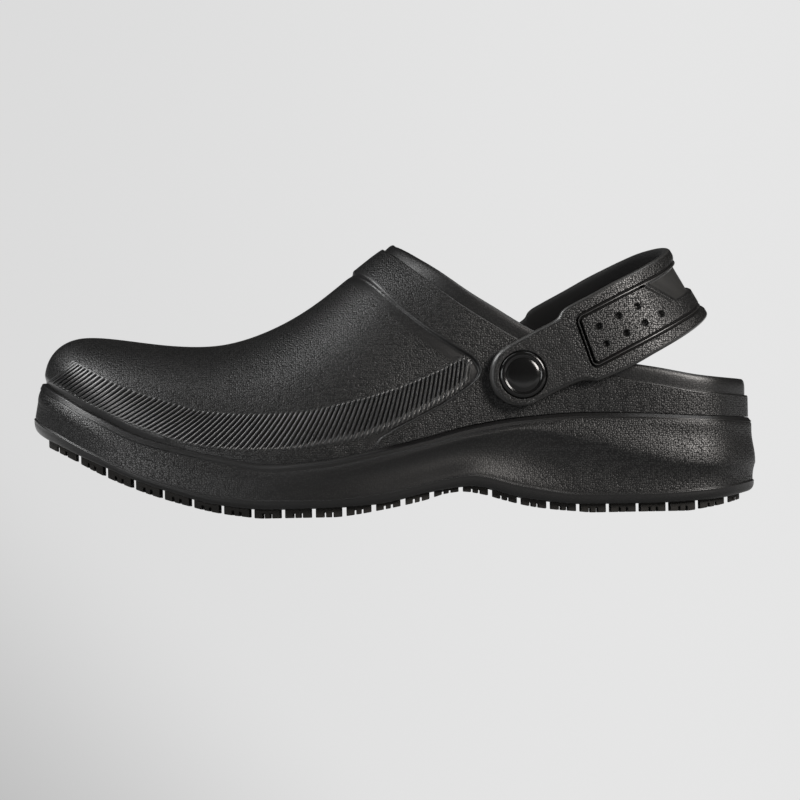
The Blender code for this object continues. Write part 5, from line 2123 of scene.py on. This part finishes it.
SOFTBOXES = table(
    Softbox,
    ("left", (-1.05, -0.22, 1.12), 9.5, WHITE),
    ("back_left", (-1.1, 0.12, 1.02), 5.0, WHITE),
    ("low_left", (-1.0, -1.1, 0.27), 5.5, WHITE),
    ("high_left", (-0.52, -0.36, 1.42), 1.6, WHITE),
    ("right", (1.12, -0.75, 0.72), 23.0, WARM),
    ("high_right", (0.63, 0.06, 1.42), 4.0, WHITE),
)


@dataclass
class Studio:
    """A pale floor that glows, with a painted soft shadow near the shoe, soft light, and a camera at the
    photograph's angle.

    A fall is a soft step: its two ends, and the value at each of them.
    """

    distance: float = 7.0
    view_width: float = 0.328
    aim: Triple = (0.0024, 0.0, 0.0476)
    roll: float = 1.0826
    sensor: float = 36.0
    clip: Span = (0.05, 100.0)
    floor_radius: float = 6.0
    floor_fall: Fall = (1.2, 3.0, 1.0, 0.0)
    glow_shift: Triple = (0.0, 0.12, 0.0)
    glow_fall: Fall = (0.12, 0.5, 0.14, 0.6)
    upward_fall: Fall = (0.04, 0.14, 1.0, 0.03)
    behind_fall: Fall = (0.9, 0.985, 0.08, 0.765)
    sideways_fall: Fall = (-0.035, 0.02, 0.92, 1.03)
    corner_fall: Fall = (-0.05, -0.016, 0.68, 1.0)
    light_aim: Triple = (0.0, 0.0, 0.05)
    light_size: float = 0.55

    def floor(self) -> Object:
        """Lays the floor, which glows instead of being lit, glows less near the shoe as a painted soft
        shadow, and fades out far off.

        Returns:
            The floor.
        """
        Workbench.clear()
        bpy.ops.mesh.primitive_circle_add(vertices=96, radius=self.floor_radius, fill_type="NGON")
        made = bpy.context.active_object
        made.name = "floor"
        work = Palette("pale_floor")
        places = work.places()
        shifted = work.node("ShaderNodeVectorMath", {"operation": "ADD"}, {0: places, 1: self.glow_shift})
        near, far = work.length(shifted.outputs[0]), work.length(places)
        work.set(Alpha=work.ramp(far, self.floor_fall))
        cloud = work.noise(places, 400.0, 2.0)
        work.set(Base_Color=work.mix(cloud, (0.1,) * 3, (0.11,) * 3), Roughness=0.9, Specular_IOR_Level=0.0)
        # The glow is lower near the shoe: a painted soft shadow on a floor that glows instead of being lit.
        glow = work.ramp(near, self.glow_fall)
        work.set(Emission_Color=work.mix(glow, (0.0,) * 3, (1.0,) * 3), Emission_Strength=1.0)
        made.data.materials.append(work.material)
        return made

    def hang(self, box: Softbox) -> None:
        """Hangs one soft light.

        Args:
            box: what to hang.
        """
        lamp = bpy.data.lights.new(box.name, "AREA")
        lamp.shape = "SQUARE"
        lamp.size = self.light_size
        lamp.energy = box.watts
        lamp.color = box.tint
        hung = bpy.data.objects.new(box.name, lamp)
        hung.location = box.place
        hung.rotation_euler = (Vector(self.light_aim) - Vector(box.place)).to_track_quat("-Z", "Y").to_euler()
        bpy.context.scene.collection.objects.link(hung)

    def light(self) -> None:
        """Sets the pale room light, which is bright behind the shoe and dim above, and the softboxes."""
        world = bpy.data.worlds.new("studio")
        bpy.context.scene.world = world
        world.use_nodes = True
        work = NodeBench(world.node_tree)
        way = work.node("ShaderNodeTexCoord", {}, {}).outputs["Generated"]
        split = work.node("ShaderNodeSeparateXYZ", {}, {0: way})
        across, deep, high = (Value(work, split.outputs[axis]) for axis in "XYZ")
        room = work.ramp(high, self.upward_fall) * work.ramp(deep, self.behind_fall)
        sides = work.ramp(across, self.sideways_fall) * work.ramp(across + high, self.corner_fall)
        glow = world.node_tree.nodes["Background"]
        work.feed(glow.inputs["Strength"], room * sides)
        work.feed(glow.inputs["Color"], (*WHITE, 1.0))
        for box in SOFTBOXES:
            self.hang(box)
        bpy.context.scene.view_settings.view_transform = "Standard"

    def camera(self) -> None:
        """Sets the camera square to the shoe's outer side, far off, with the photograph's slight roll."""
        lens = bpy.data.cameras.new("camera")
        lens.sensor_width = self.sensor
        lens.lens = self.sensor * self.distance / self.view_width
        lens.clip_start, lens.clip_end = self.clip
        held = bpy.data.objects.new("camera", lens)
        bpy.context.scene.collection.objects.link(held)
        high = -math.asin(self.aim[2] / self.distance)
        back = Vector((0.0, -math.cos(high), math.sin(high)))
        held.location = Vector(self.aim) + back * self.distance
        turn = (-back).to_track_quat("-Z", "Y").to_matrix()
        held.rotation_euler = (turn @ Matrix.Rotation(math.radians(-self.roll), 3, "Z")).to_euler()
        bpy.context.scene.camera = held


def main() -> None:
    """Builds the clog's pieces in order, then the studio, and logs each piece's triangle count."""
    logging.basicConfig(level=logging.INFO, format="%(name)s %(message)s")
    # The foam's paler colour paints glints on pebble tips and, on the strap, painted light on its plain
    # places.
    foam = FoamFinish("upper_foam_black", (0.004, 0.004, 0.0042), (0.03, 0.03, 0.0295), 0.79, 0.13, 0.37)
    rib_foam = replace(foam, name="rib_foam_black", rough=0.33, shine=0.45, plain_skin=0.85)
    sole_foam = replace(foam, name="sole_foam_black", pebble=0.82, depth=0.14, rough=0.38)
    strap_foam = replace(foam, name="strap_foam_black", pale=(0.03, 0.03, 0.0292), pebble=0.84, depth=0.18)
    strap_foam = replace(strap_foam, rough=0.36, plain_skin=0.9, plain_pale=1.0)
    rubber = RubberFinish("tread_rubber_black", (0.008, 0.008, 0.0075), (0.05, 0.044, 0.038))
    knit = FootbedFinish("footbed_knit", (0.015, 0.015, 0.016), (0.05, 0.05, 0.052))
    gloss = GlossFinish("rivet_gloss", (0.006,) * 3, (0.0096,) * 3)

    last = Last()
    ribs = RibField(last)
    Upper(last, ribs).build(foam.paint())
    rib_surface = rib_foam.paint()
    for side in Side:
        ribs.build(side, rib_surface)
    sole = SoleCup(last)
    sole.build(sole_foam.paint())
    tread, rubber_surface = Tread(sole), rubber.paint()
    tread.build_sheet(rubber_surface)
    tread.build_blocks(rubber_surface)
    Footbed(last).build(knit.paint())
    strap = HeelStrap()
    strap.build(strap_foam.paint())
    rivet_surface = gloss.paint()
    for side in Side:
        Rivet(strap).build(side, rivet_surface)

    studio = Studio()
    studio.floor()
    studio.light()
    studio.camera()


if __name__ == "__main__":
    main()
